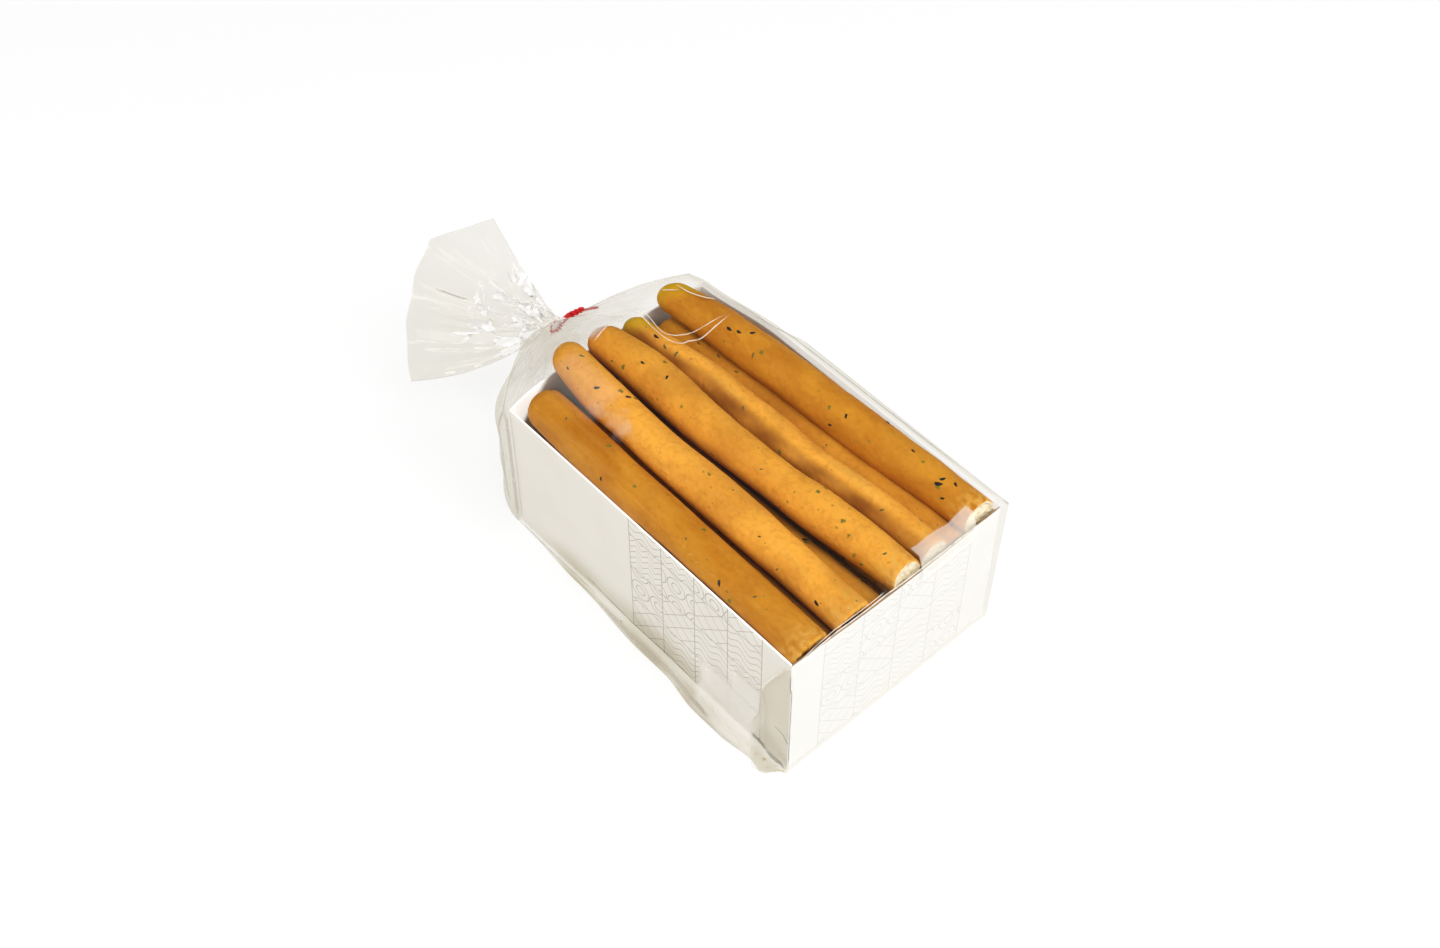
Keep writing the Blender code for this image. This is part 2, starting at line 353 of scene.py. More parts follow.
@dataclass(frozen=True)
class Crust:
    """Baked crust: golden, mottled, with herb flecks; reads the rusk's own bake_and_light
    attribute, whose shares also paint light on the tops and shade below and between the rusks.
    """

    golden: Colour = (0.565, 0.208, 0.010)
    deep: Colour = (0.41, 0.116, 0.005)
    light: Colour = (0.68, 0.288, 0.020)
    mustard: Colour = (0.62, 0.370, 0.006)
    pale: Colour = (0.76, 0.400, 0.070)
    # toasted brown, also used for painted shade on the rusks' lower sides and where they touch
    toast_and_shade: Colour = (0.27, 0.080, 0.005)
    # painted light: the lighter gold of the rusks' lit tops
    painted_top_light: Colour = (1.00, 0.465, 0.058)
    herb: Colour = (0.19, 0.165, 0.020)
    roughness: float = 0.62

    def material(self) -> Material:
        """Builds the crust.

        Returns:
            The material.
        """
        shader = Shader("rusk_crust")
        mustard, pale, toast_and_shade, painted_top_light = shader.attribute("bake_and_light")
        patches = shader.noise(95.0, 3.0, shader.stretched((0.45, 1.0, 1.0)))
        clouds = shader.noise(38.0, 2.0, distortion=0.6)
        mottle = shader.noise(420.0, 3.0)
        grain = shader.noise(1900.0, 2.0)
        wrinkles = shader.noise(260.0, 4.0, shader.stretched((0.6, 1.0, 1.0)), distortion=1.4)
        fleck, chosen = self.flecks(shader, 170.0, 0.86)
        small, picked = self.flecks(shader, 380.0, 0.93)
        herbs = (fleck * chosen).most(small * picked * 0.7)
        colour = shader.mix(patches.step(0.36, 0.66), self.golden, self.light)
        for share, tone in (
                (painted_top_light, self.painted_top_light),
                (clouds.step(0.44, 0.68) * 0.32, self.deep),
                (mottle.step(0.46, 0.72) * 0.24, self.deep),
                (wrinkles.step(0.48, 0.68) * 0.12, self.deep),
                (wrinkles.step(0.46, 0.30) * 0.12, self.pale),
                (grain.step(0.45, 0.8) * 0.14, self.pale),
                (pale, self.pale), (toast_and_shade, self.toast_and_shade), (mustard, self.mustard),
                (herbs, self.herb)):
            colour = shader.mix(share, colour, tone)
        blister = shader.cells(230.0)
        height = mottle * 0.40 + grain * 0.16 + patches * 0.5 + wrinkles * 0.6 \
            + blister.step(0.45, 0.0) * 0.35
        surface = shader.principled({
            "Base Color": colour,
            "Roughness": mottle * 0.22 + (self.roughness - 0.11),
            "Normal": shader.bump(height, 0.0007, 0.8),
            "Subsurface Weight": 0.06,
            "Subsurface Radius": (0.004, 0.002, 0.0008),
            "Subsurface Scale": 1.0,
            "Specular IOR Level": 0.06,
        })
        return shader.finish(surface)

    def flecks(self, shader: Shader, scale: float, rarity: float) -> tuple[Signal, Signal]:
        """Scattered small leaf pieces.

        Args:
            shader: The material under construction.
            scale: Cells per metre.
            rarity: The share of cells without a fleck.

        Returns:
            The mask of a fleck in every cell, and the mask of the cells that have one.
        """
        bent = shader.node("ShaderNodeVectorMath", {"operation": "ADD"}, {
            0: shader.place(),
            1: shader.node("ShaderNodeVectorMath", {"operation": "SCALE"}, {
                0: shader.noise(700.0).other("Color"), "Scale": 0.0022}),
        })
        cell = shader.cells(scale, bent)
        random_share = shader.node("ShaderNodeSeparateColor", None, {0: cell.other("Color")})
        return cell.step(0.24, 0.14), random_share > rarity


@dataclass(frozen=True)
class Crumb:
    """The dry white crumb of a cut end, with pores whose hollows are darkened by painted shade."""

    cream: Colour = (0.88, 0.78, 0.56)
    shade: Colour = (0.52, 0.33, 0.13)

    def material(self) -> Material:
        """Builds the crumb.

        Returns:
            The material.
        """
        shader = Shader("rusk_crumb")
        pores = shader.cells(430.0)
        grain = shader.noise(900.0, 3.0)
        # painted shade: the pores darker in their hollows; the grain adds darker spots
        colour = shader.mix(pores.step(0.30, 0.05) * 0.7, self.cream, self.shade)
        colour = shader.mix(grain.step(0.56, 0.68) * 0.5, colour, self.shade)
        surface = shader.principled({
            "Base Color": colour,
            "Roughness": 0.85,
            "Normal": shader.bump(pores * 0.7 + grain * 0.5, 0.0009, 1.0),
        })
        return shader.finish(surface)


@dataclass(frozen=True)
class SeedCoat:
    """The matt black skin of a seed."""

    black: Colour = (0.007, 0.008, 0.007)
    grey: Colour = (0.020, 0.021, 0.017)

    def material(self) -> Material:
        """Builds the seed's skin.

        Returns:
            The material.
        """
        shader = Shader("seed_coat")
        grain = shader.noise(3000.0, 2.0)
        surface = shader.principled({
            "Base Color": shader.mix(grain, self.black, self.grey),
            "Roughness": 0.6,
            "Specular IOR Level": 0.15,
            "Normal": shader.bump(grain, 0.0001, 1.0),
        })
        return shader.finish(surface)


@dataclass(frozen=True)
class Leaf:
    """Dried herb."""

    green: Colour = (0.085, 0.095, 0.016)
    brown: Colour = (0.16, 0.125, 0.020)

    def material(self) -> Material:
        """Builds the herb.

        Returns:
            The material.
        """
        shader = Shader("dried_herb")
        grain = shader.noise(500.0, 2.0)
        surface = shader.principled({
            "Base Color": shader.mix(grain.step(0.35, 0.65), self.green, self.brown),
            "Roughness": 0.8,
            "Normal": shader.bump(grain, 0.0002, 1.0),
        })
        return shader.finish(surface)


def grid_mesh(columns: int, rows: int, place: Place, join: bool = True) -> BMesh:
    """A sheet of faces laid over a surface, with its UV map.

    Args:
        columns: Faces across.
        rows: Faces along.
        place: The point for a share across and a share along.
        join: Whether edges that meet are joined.

    Returns:
        The mesh.
    """
    mesh = bmesh.new()
    layer = mesh.loops.layers.uv.new("UVMap")
    bmesh.ops.create_grid(mesh, x_segments=columns, y_segments=rows, size=0.5)
    for face in mesh.faces:
        for loop in face.loops:
            loop[layer].uv = (loop.vert.co.x + 0.5, loop.vert.co.y + 0.5)
    for vertex in mesh.verts:
        vertex.co = place(vertex.co.x + 0.5, vertex.co.y + 0.5)
    if join:
        bmesh.ops.remove_doubles(mesh, verts=mesh.verts, dist=1e-6)
    return mesh


def lay_plain(mesh: BMesh) -> None:
    """Moves a sheet's UV map to the front of the bag, where the film is plain.

    Args:
        mesh: The sheet.
    """
    layer = mesh.loops.layers.uv.active
    for face in mesh.faces:
        for loop in face.loops:
            loop[layer].uv.y *= 0.01


def take_in(mesh: BMesh, part: BMesh) -> None:
    """Adds one mesh's faces to another.

    Args:
        mesh: The mesh that grows.
        part: The mesh that goes into it, which is freed.
    """
    data = bpy.data.meshes.new("part")
    part.to_mesh(data)
    part.free()
    mesh.from_mesh(data)
    bpy.data.meshes.remove(data)


def add_piece(name: str, mesh: BMesh, slot: Slot, materials: Sequence[Material],
              sharp: Optional[float] = None, node: str = "") -> Object:
    """Makes an object of a mesh, with its finish and its body.

    Args:
        name: The piece's name.
        mesh: Its mesh, which is freed.
        slot: The record's slot for its finish; not used.
        materials: Its materials, in the order of the faces' numbers.
        sharp: The angle in degrees from which an edge shows as sharp.
        node: The CAD node that it replaces, if any.

    Returns:
        The object.
    """
    data = bpy.data.meshes.new(name)
    mesh.to_mesh(data)
    mesh.free()
    data.shade_smooth()
    if sharp is not None:
        data.set_sharp_from_angle(angle=math.radians(sharp))
    for material in materials:
        data.materials.append(material)
    piece = bpy.data.objects.new(name, data)
    bpy.context.scene.collection.objects.link(piece)
    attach(piece, BODY)
    if node:
        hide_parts(node)
    LOG.info("%s: %d faces", name, len(data.polygons))
    return piece


@dataclass(frozen=True)
class Rusk:
    """One finger rusk.

    Attributes:
        name: The piece's name.
        spine: Rows of x, y, z and radius in millimetres, in rising order of x.
        back: Where its domed back end is, in millimetres.
        front: Where its cut front end is, in millimetres.
        seed: Picks its own waves and dents.
        around: Faces round it.
        along: Faces along it.
        mustard: How far the yellow-green tint of its back end reaches, in millimetres.
        pale: How strong its floury streaks are.
        squash: Its height over its width.
        dome: How long the round of its back end is, in millimetres.
        rim: How long the round before the cut is, in millimetres.
        cut: The share of the radius that the cut takes up.
        lean: How far the cut's top stands out over its middle, as a share of its height.
        painted_top_light: How much painted light lightens the rusk's top to a paler gold.
        painted_contact_shade: How much painted shade darkens its near side, where it lies against
            its neighbour.
        baked: How much darker than the others it is all over.
        capped: Whether the crust goes round the front end too.
        domed_share: Where the round of the back end is complete, as a share along.
        rough_share: Where the front end starts to be uneven.
        rimmed_share: Where the round before the cut starts.
        cut_share: Where the cut starts.
    """

    name: str
    spine: tuple[tuple[float, float, float, float], ...]
    back: float
    front: float
    seed: int
    around: int = 64
    along: int = 150
    mustard: float = 0.0
    pale: float = 0.0
    squash: float = 0.98
    dome: float = 7.5
    rim: float = 1.2
    cut: float = 0.90
    lean: float = 0.0
    painted_top_light: float = 0.0
    painted_contact_shade: float = 0.0
    baked: float = 0.0
    capped: bool = False
    domed_share: ClassVar[float] = 0.10
    rough_share: ClassVar[float] = 0.84
    rimmed_share: ClassVar[float] = 0.86
    cut_share: ClassVar[float] = 0.93

    def centre(self, x: float) -> tuple[float, float, float]:
        """The axis and the radius at x, all in millimetres."""
        y, z, radius = curve_at(self.spine, x)
        return y, z, radius

    def station(self, share: float) -> tuple[float, float, bool]:
        """A place of the outline from the back pole to the middle of the cut.

        Args:
            share: How far along the outline.

        Returns:
            x in millimetres, the share of the radius, and whether it is on the cut.
        """
        domed, rimmed, cut = self.domed_share, self.rimmed_share, self.cut_share
        if share < domed:
            angle = share / domed * math.pi / 2
            return (self.back + self.dome * (1 - math.cos(angle)),
                    math.sin(angle) ** 0.78, False)
        if share < rimmed:
            start, end = self.back + self.dome, self.front - self.rim
            return blend(start, end, (share - domed) / (rimmed - domed)), 1.0, False
        if share < cut:
            angle = (share - rimmed) / (cut - rimmed) * math.pi / 2
            return (self.front - self.rim * (1 - math.sin(angle)),
                    1 - (1 - self.cut) * (1 - math.cos(angle)), False)
        return self.front, self.cut * (1 - (share - cut) / (1 - cut)), True

    def point(self, across: float, share: float) -> Vector:
        """The surface point in metres for a share around and a share along.

        Args:
            across: The share around, from +Y upwards.
            share: The share along, from the back pole to the middle of the cut.

        Returns:
            The point, in metres.
        """
        x, reach, cut = self.station(share)
        y, z, radius = self.centre(x)
        angle = 2 * math.pi * across
        around = Vector((0.0, math.cos(angle), math.sin(angle)))
        spot = Vector((x / 1000, around.y * 0.01, around.z * 0.01))
        wave = 0.022 * rough(spot, 0.024, self.seed) + 0.016 * rough(spot, 0.011, self.seed + 5)
        dent = min(rough(spot, 0.0085, self.seed + 9) + 0.35, 0.0) * 0.055
        fine = 0.006 * rough(spot, 0.0032, self.seed + 2)
        size = radius * (1 + wave + dent + fine) * reach
        x += self.lean * around.z * size * ease((x - self.front) / 22 + 1)
        if share > self.rough_share:
            spot = Vector((0.0, around.y * size, around.z * size)) / 1000
            near_cut = ease((share - self.rough_share) / 0.06)
            x += 0.55 * rough(spot, 0.0021, self.seed + 8) * near_cut
            size *= 1 + 0.03 * rough(spot, 0.0013, self.seed + 6)
        if cut:
            crater = 0.70 * rough(Vector((0.0, around.y * size, around.z * size)) / 1000, 0.0019,
                                  self.seed + 3)
            x += crater - 0.8 * ease((self.cut - reach) / 0.3)
        return Vector((x, y + around.y * size, z + around.z * size * self.squash)) / 1000

    def spot(self, x: float, angle: float) -> tuple[Vector, Vector]:
        """A place on the skin and the outward direction there.

        Args:
            x: Along the rusk, in millimetres.
            angle: Round it from +Y upwards, in degrees.

        Returns:
            The point in metres and the direction.
        """
        start, end = self.back + self.dome, self.front - self.rim
        share = blend(self.domed_share, self.rimmed_share, (x - start) / (end - start))
        across = angle / 360 % 1.0
        point = self.point(across, share)
        around = self.point(across + 0.01, share) - self.point(across - 0.01, share)
        ahead = self.point(across, share + 0.004) - self.point(across, share - 0.004)
        out = around.cross(ahead).normalized()
        y, z, _ = self.centre(x)
        if out.dot(point - Vector((x, y, z)) / 1000) < 0:
            out = -out
        return point, out

    def tint(self, point: Vector, share: float) -> tuple[float, float, float, float]:
        """The mustard, floury, toasted-and-shaded and painted top-light shares of the crust at a
        point.

        Args:
            point: A point of the skin, in metres.
            share: The share along there.

        Returns:
            The four shares, from 0 to 1.
        """
        y, z, radius = self.centre(point.x * 1000)
        height = (point.z * 1000 - z) / radius
        side = (point.y * 1000 - y) / radius
        from_back = point.x * 1000 - self.back
        reach = from_back + 3.0 * rough(point, 0.012, self.seed) - 7.0 * side
        mustard = ease(1.2 - reach / self.mustard) * ease(height + 0.5) if self.mustard else 0.0
        streak = rough(Vector((point.x * 0.12, point.y, point.z)), 0.0038, self.seed + 4)
        pale = self.pale * ease((streak - 0.05) * 3) * ease(height + 0.2)
        edge = rough(point, 0.0022, self.seed + 1)
        pale += 0.9 * ease((share - 0.80) / 0.06) * ease(edge * 2.0 + 0.55)
        # painted shade: the crust darker towards the underside
        low = ease((0.30 - height) / 1.25)
        ends = ease(1 - from_back / 9) * 0.25 if not self.mustard else 0.0
        patch = ease(rough(point, 0.030, self.seed + 7) * 2)
        # toasted share: real baking of the whole rusk, its back end and random patches, plus the
        # painted shade below
        toast_and_shade = self.baked + 0.62 * low + ends + 0.12 * patch
        streaky = 0.75 + 0.5 * rough(Vector((point.x * 0.4, point.y, point.z)), 0.006, self.seed)
        # painted shade: the near side darker, where the neighbouring rusk lies against it
        toast_and_shade += self.painted_contact_shade * ease(-0.02 - side * 1.5) * streaky
        # painted light: the top a lighter gold, less so near the back end
        painted_top_light = self.painted_top_light * ease(height * 1.1 + 0.45) * (0.5 + 0.5 * ease(from_back / 50))
        return min(mustard, 0.9), min(pale, 0.9), min(toast_and_shade, 0.94), painted_top_light

    def mesh(self) -> BMesh:
        """Builds the rusk with its bake_and_light attribute of crust tints, painted light and
        painted shade; the cut's faces have the second material.

        Returns:
            The mesh.
        """
        mesh = grid_mesh(self.around, self.along, self.point)
        uv_layer = mesh.loops.layers.uv.active
        bake_and_light = mesh.loops.layers.float_color.new("bake_and_light")
        for face in mesh.faces:
            spots = [loop[uv_layer].uv.y for loop in face.loops]
            cut = sum(spots) / len(spots) > 0.925
            face.material_index = 1 if cut and not self.capped else 0
            for loop in face.loops:
                loop[bake_and_light] = self.tint(loop.vert.co, loop[uv_layer].uv.y)
        bmesh.ops.recalc_face_normals(mesh, faces=mesh.faces[:])
        return mesh


@dataclass
class RuskStack:
    """The rusks in the tray: five layers, of which the top one stands above the rim.

    Attributes:
        first_layer: How high the lowest layer's axes lie, in millimetres.
        layer_rise: How much higher each layer lies than the one below.
        wide_row: The places across the tray of a layer of six, and narrow_row of five.
        wall_row: From where on a rusk lies against a long wall.
        far_room: How much each layer draws back from the far wall, which leans in.
    """

    radius: float = 9.5
    first_layer: float = 10.8
    layer_rise: float = 16.9
    wide_row: tuple[float, ...] = (-49.0, -29.4, -9.8, 9.8, 29.4, 49.0)
    narrow_row: tuple[float, ...] = (-39.2, -19.6, 0.0, 19.6, 39.2)
    wall_row: float = 45.0
    far_room: float = 1.1
    rusks: list[Rusk] = field(default_factory=list)
    pieces: list[Object] = field(default_factory=list)

    def top_layer(self) -> list[Rusk]:
        """The five rusks on top, from the near side to the far side.

        Returns:
            The rusks.
        """
        return [
            Rusk("rusk_23", (
                (-86, -49.6, 82.9, 9.0), (-63, -49.7, 82.1, 9.6), (-42, -50.0, 81.4, 9.6),
                (-21, -49.9, 80.7, 9.5), (0, -49.5, 80.0, 9.4), (21, -49.2, 79.3, 9.3),
                (42, -49.1, 78.6, 9.3), (63, -49.1, 77.9, 9.4), (88, -49.2, 77.1, 9.4)),
                -82.6, 88.9, 11, pale=0.16, rim=1.4, lean=0.26, baked=0.13,
                capped=True),
            Rusk("rusk_24", (
                (-95, -26.6, 88.8, 7.6), (-84, -27.5, 88.1, 8.4), (-63, -29.0, 86.8, 9.5),
                (-42, -29.1, 85.4, 9.1), (-21, -29.0, 84.1, 9.3), (0, -27.9, 82.8, 9.8),
                (21, -27.0, 81.4, 9.9), (42, -26.6, 80.1, 9.6), (63, -26.0, 78.7, 9.1),
                (88, -25.8, 77.3, 9.1)),
                -94.6, 88.9, 12, pale=0.20, rim=1.4, lean=0.28, painted_top_light=0.82,
                capped=True),
            Rusk("rusk_25", (
                (-92, -9.6, 88.0, 7.8), (-84, -8.0, 87.7, 8.4), (-63, -5.6, 86.5, 10.0),
                (-42, -5.3, 85.4, 10.2), (-21, -5.3, 84.2, 9.8), (0, -4.0, 83.0, 9.2),
                (21, -2.2, 81.8, 8.9), (42, 0.1, 80.7, 9.8), (63, 2.5, 79.5, 9.4),
                (88, 4.7, 78.2, 8.3)),
                -92.0, 89.6, 13, pale=0.12, rim=1.3, lean=-0.12, painted_top_light=0.62),
            Rusk("rusk_26", (
                (-90, 7.5, 85.5, 6.4), (-63, 10.9, 83.0, 7.6), (-42, 14.0, 82.0, 8.0),
                (-21, 13.9, 81.4, 8.6), (0, 14.9, 80.6, 8.8), (21, 15.4, 79.9, 8.3),
                (42, 18.4, 79.2, 8.0), (63, 20.4, 78.5, 8.0), (88, 20.9, 77.8, 8.0)),
                -89.5, 89.0, 14, mustard=15.0, pale=0.34, painted_top_light=0.92, painted_contact_shade=0.95),
            Rusk("rusk_27", (
                (-92, 29.8, 88.9, 7.0), (-84, 32.0, 88.6, 7.8), (-63, 35.7, 87.3, 9.1),
                (-42, 37.8, 86.0, 9.7), (-21, 40.0, 84.8, 9.8), (0, 41.6, 83.5, 10.0),
                (21, 43.1, 82.2, 10.1), (42, 44.7, 80.9, 9.9), (63, 46.9, 79.7, 9.3),
                (88, 48.6, 78.2, 9.0)),
                -91.6, 88.4, 15, mustard=15.0, pale=0.06, rim=0.8, cut=0.94, lean=-0.08,
                baked=0.06),
        ]

    def fourth_layer(self) -> list[Rusk]:
        """The five rusks under the top ones, some of which show between them.

        Returns:
            The rusks, from the near side to the far side.
        """
        rows = (
            (-38.0, -38.0, 61.6, 61.6, 9.2), (-18.0, -11.5, 63.0, 62.4, 9.3),
            (3.0, 12.0, 61.4, 61.4, 9.0), (25.5, 34.0, 72.6, 68.4, 9.1),
            (46.0, 49.3, 60.2, 60.2, 9.1),
        )
        layer = []
        for place, (back_y, front_y, back_z, front_z, radius) in enumerate(rows):
            spine = (
                (-88, back_y, back_z, radius * 0.96),
                (-30, blend(back_y, front_y, 0.28) + 0.8, blend(back_z, front_z, 0.33), radius),
                (30, blend(back_y, front_y, 0.72) - 0.6, blend(back_z, front_z, 0.67),
                 radius * 1.02),
                (88, front_y, front_z, radius),
            )
            layer.append(Rusk(f"rusk_{18 + place:02d}", spine, -86.5, 88.4, 31 + place,
                              around=56, along=110, pale=0.05, painted_top_light=0.24))
        return layer

    def low_layers(self) -> list[Rusk]:
        """The rusks at the bottom, which show through the gaps alone.

        Returns:
            The rusks, from the bottom up.
        """
        draws = random.Random(5)
        rows = ((self.wide_row, 0), (self.narrow_row, 1), (self.wide_row, 2))
        layer = []
        for row, level in rows:
            for y in row:
                z = self.first_layer + self.layer_rise * level
                radius = self.radius + draws.uniform(-0.25, 0.15)
                sway = draws.uniform(-0.5, 0.5) if abs(y) < self.wall_row else 0.0
                inset = self.far_room * (level + 0.4) if y > self.wall_row else 0.0
                spine = ((-88, y - inset, z, radius - inset * 0.2),
                         (-20, y + sway, z, radius * 1.01),
                         (30, y - sway, z, radius * 0.99), (88, y, z, radius))
                layer.append(Rusk(f"rusk_{len(layer) + 1:02d}", spine,
                                  -87.5 + draws.uniform(0, 1.5), 88.2 - draws.uniform(0, 1.5),
                                  60 + len(layer), around=24, along=44))
        return layer

    def build(self, crust: Material, crumb: Material) -> None:
        """Builds every rusk.

        Args:
            crust: The finish of the skin.
            crumb: The finish of the cut end.
        """
        self.rusks = self.low_layers() + self.fourth_layer() + self.top_layer()
        for rusk in self.rusks:
            self.pieces.append(add_piece(rusk.name, rusk.mesh(), Slot.CRUST, (crust, crumb),
                                         node="bag"))


@dataclass(frozen=True)
class PaintedSheen:
    """A milky patch painted on the film: a painted reflection of the lights.

    Attributes:
        low: Its lowest x, y and z in millimetres.
        high: Its highest x, y and z in millimetres.
        soft: How far it fades out, in millimetres.
        strength: How strong the painted reflection is.
        mottled: Whether it has uneven clouds.
    """

    low: tuple[float, float, float]
    high: tuple[float, float, float]
    soft: float
    strength: float
    mottled: bool = False

    def mask(self, shader: Shader, axes: Sequence[Signal]) -> Signal:
        """The patch's painted reflection at a point, from 0 to its strength.

        Args:
            shader: The material under construction.
            axes: The point's x, y and z.

        Returns:
            The painted reflection.
        """
        haze = None
        for axis, low, high in zip(axes, self.low, self.high):
            inside = axis.step((low - self.soft) / 1000, low / 1000) \
                * axis.step((high + self.soft) / 1000, high / 1000)
            haze = inside if haze is None else haze * inside
        if self.mottled:
            haze = haze * shader.noise(70.0, 2.0).step(0.38, 0.62)
        return haze * self.strength


@dataclass(frozen=True)
class Film:
    """Clear crisp packing film: one thin sheet that is mostly see-through.

    The piece's UV map runs round the bag and along it, from the front panel to the mouth. Where
    the film is seen edge on, it gets smoky and mirrors the room; where it is drawn together, it
    gets milky and full of glints.

    Attributes:
        clear: The tint of one plain layer, and smoke of a smoky one.
        body_haze: How milky the film is over the tray; the others say it for the gather, the
            spread mouth and the neck.
        gloss: How much the film mirrors from straight ahead; the others add to it.
        edge_smoke: How smoky the film gets edge on, less gathered_clear behind the tray.
        foot_shade: How dark the crumpled film at the foot of the near side is: its crumpled
            layers, with painted shade along the tray's foot.
        extra_smoke: What a doubled piece adds.
    """

    clear: Colour = (0.985, 0.980, 0.968)
    smoke: Colour = (0.60, 0.545, 0.385)
    milky: Colour = (0.96, 0.930, 0.868)
    mirror: Colour = (0.97, 0.945, 0.90)
    body_haze: float = 0.004
    gather_haze: float = 0.150
    mouth_haze: float = 0.13
    neck_haze: float = 0.70
    gloss: float = 0.003
    drawn_gloss: float = 0.06
    edge_gloss: float = 0.20
    gather_gloss: float = 0.045
    edge_smoke: float = 0.55
    gathered_clear: float = 0.40
    foot_shade: float = 0.54
    extra_smoke: float = 0.0
    name: str = "clear_film"
    # painted reflections of the lights: over the front ends, the near wall's front foot, the
    # second rusk and the back peak
    painted_sheens: tuple[PaintedSheen, ...] = (
        PaintedSheen((85.0, 11.5, 72.0), (95.0, 43.0, 95.0), 0.9, 0.36),
        PaintedSheen((42.0, -70.0, 4.0), (73.0, -60.5, 25.0), 6.0, 0.46),
        PaintedSheen((58.0, -70.0, 18.0), (74.0, -60.5, 38.0), 5.0, 0.44),
        PaintedSheen((-56.0, -41.0, 84.0), (-28.0, -33.0, 105.0), 5.0, 0.16, True),
        PaintedSheen((-80.0, -41.0, 80.0), (-55.0, -31.0, 105.0), 8.0, 0.09),
        PaintedSheen((-100.0, -14.0, 88.0), (-88.0, 2.0, 110.0), 4.0, 0.46),
    )

    def material(self) -> Material:
        """Builds the film.

        Returns:
            The material.
        """
        shader = Shader(self.name)
        _, along = shader.unwrapped()
        x, y, z = shader.axes()
        middle = (y / Tray.half_width) ** 2.0
        gathered = (x + (1.0 - middle * middle) * Tray.back_bow).step(-0.0900, -0.0925)
        mouth = along.step(FilmBag.neck_end, FilmBag.neck_end + 0.03)
        drawn = along.step(FilmBag.body_end + 0.10, FilmBag.gather_end) \
            * along.step(FilmBag.neck_end + 0.22, FilmBag.neck_end + 0.04)
        neck = along.step(FilmBag.gather_end - 0.07, FilmBag.gather_end) \
            * along.step(FilmBag.neck_end + 0.10, FilmBag.neck_end)
        threads = shader.stretched((95.0, 5.0, 1.0), shader.node(
            "ShaderNodeUVMap", {"uv_map": "UVMap"}))
        pleats = shader.noise(1.0, 2.0, threads)
        crinkle = shader.noise(85.0, 2.0, distortion=0.8)
        broad = shader.noise(34.0, 2.0)
        height = crinkle * (drawn * 0.7 + gathered * 0.06 + 0.05) + pleats * drawn \
            + broad * 0.6
        normal = shader.bump(height, 0.0014, 1.0)
        facing = shader.node("ShaderNodeLayerWeight", None,
                             {"Blend": 0.5, "Normal": normal}, "Facing")
        # haze: the film's own milkiness, plus painted glints as white streaks in the drawn pleats
        haze = gathered * (self.gather_haze - self.body_haze) + self.body_haze \
            + mouth * (self.mouth_haze - self.gather_haze) + neck * self.neck_haze \
            + drawn * pleats.step(0.52, 0.66) * 0.30
        gloss = facing ** 3.0 * (self.edge_gloss - gathered * 0.06) \
            + gathered * self.gather_gloss + self.gloss + drawn * self.drawn_gloss
        # the painted reflections join the film's milkiness
        for painted_sheen in self.painted_sheens:
            haze = haze.most(painted_sheen.mask(shader, (x, y, z)))
        near = y.step(0.030, -0.050) * 0.10 + y.step(-0.044, -0.056) * 0.20
        gather_shade = (1.0 - mouth) * (near * 0.8 + 0.04)
        mouth_shade = mouth * (y.step(0.0, -0.030) * 0.05 + 0.06)
        shade = facing ** 3.0 * (self.edge_smoke - gathered * self.gathered_clear) \
            + gathered * (gather_shade + mouth_shade) \
            + self.foot(shader, (x, y, z)) * self.foot_shade + self.extra_smoke
        milky = shader.principled({"Base Color": self.milky, "Roughness": 0.55})
        mirror = shader.principled({"Base Color": self.mirror, "Metallic": 1.0,
                                    "Roughness": 0.06, "Normal": normal})
        clear = shader.node("ShaderNodeBsdfTransparent", None, {"Color": self.clear})
        smoky = shader.node("ShaderNodeBsdfTransparent", None, {"Color": self.smoke})
        seen = shader.layer(shade, clear, smoky)
        return shader.finish(shader.layer(gloss, shader.layer(haze, seen, milky), mirror))

    def foot(self, shader: Shader, axes: Sequence[Signal]) -> Signal:
        """Where the film lies crumpled at the foot of the near side, darkened partly by painted
        shade.

        Args:
            shader: The material under construction.
            axes: The point's x, y and z.

        Returns:
            The mask, from 0 to 1.
        """
        x, y, z = axes
        clouds = shader.noise(28.0, 1.0).step(0.30, 0.60) * 0.5 + 0.5
        return z.step(0.020, 0.009) * y.step(-0.0614, -0.0640) * clouds \
            * (1.0 - x.step(0.045, 0.075) * 0.5)


class Motif(Enum):
    """The line patterns of the printed fields."""

    DIAMONDS = 0
    WAVES = 1
    HERRINGBONE = 2
    RINGS = 3


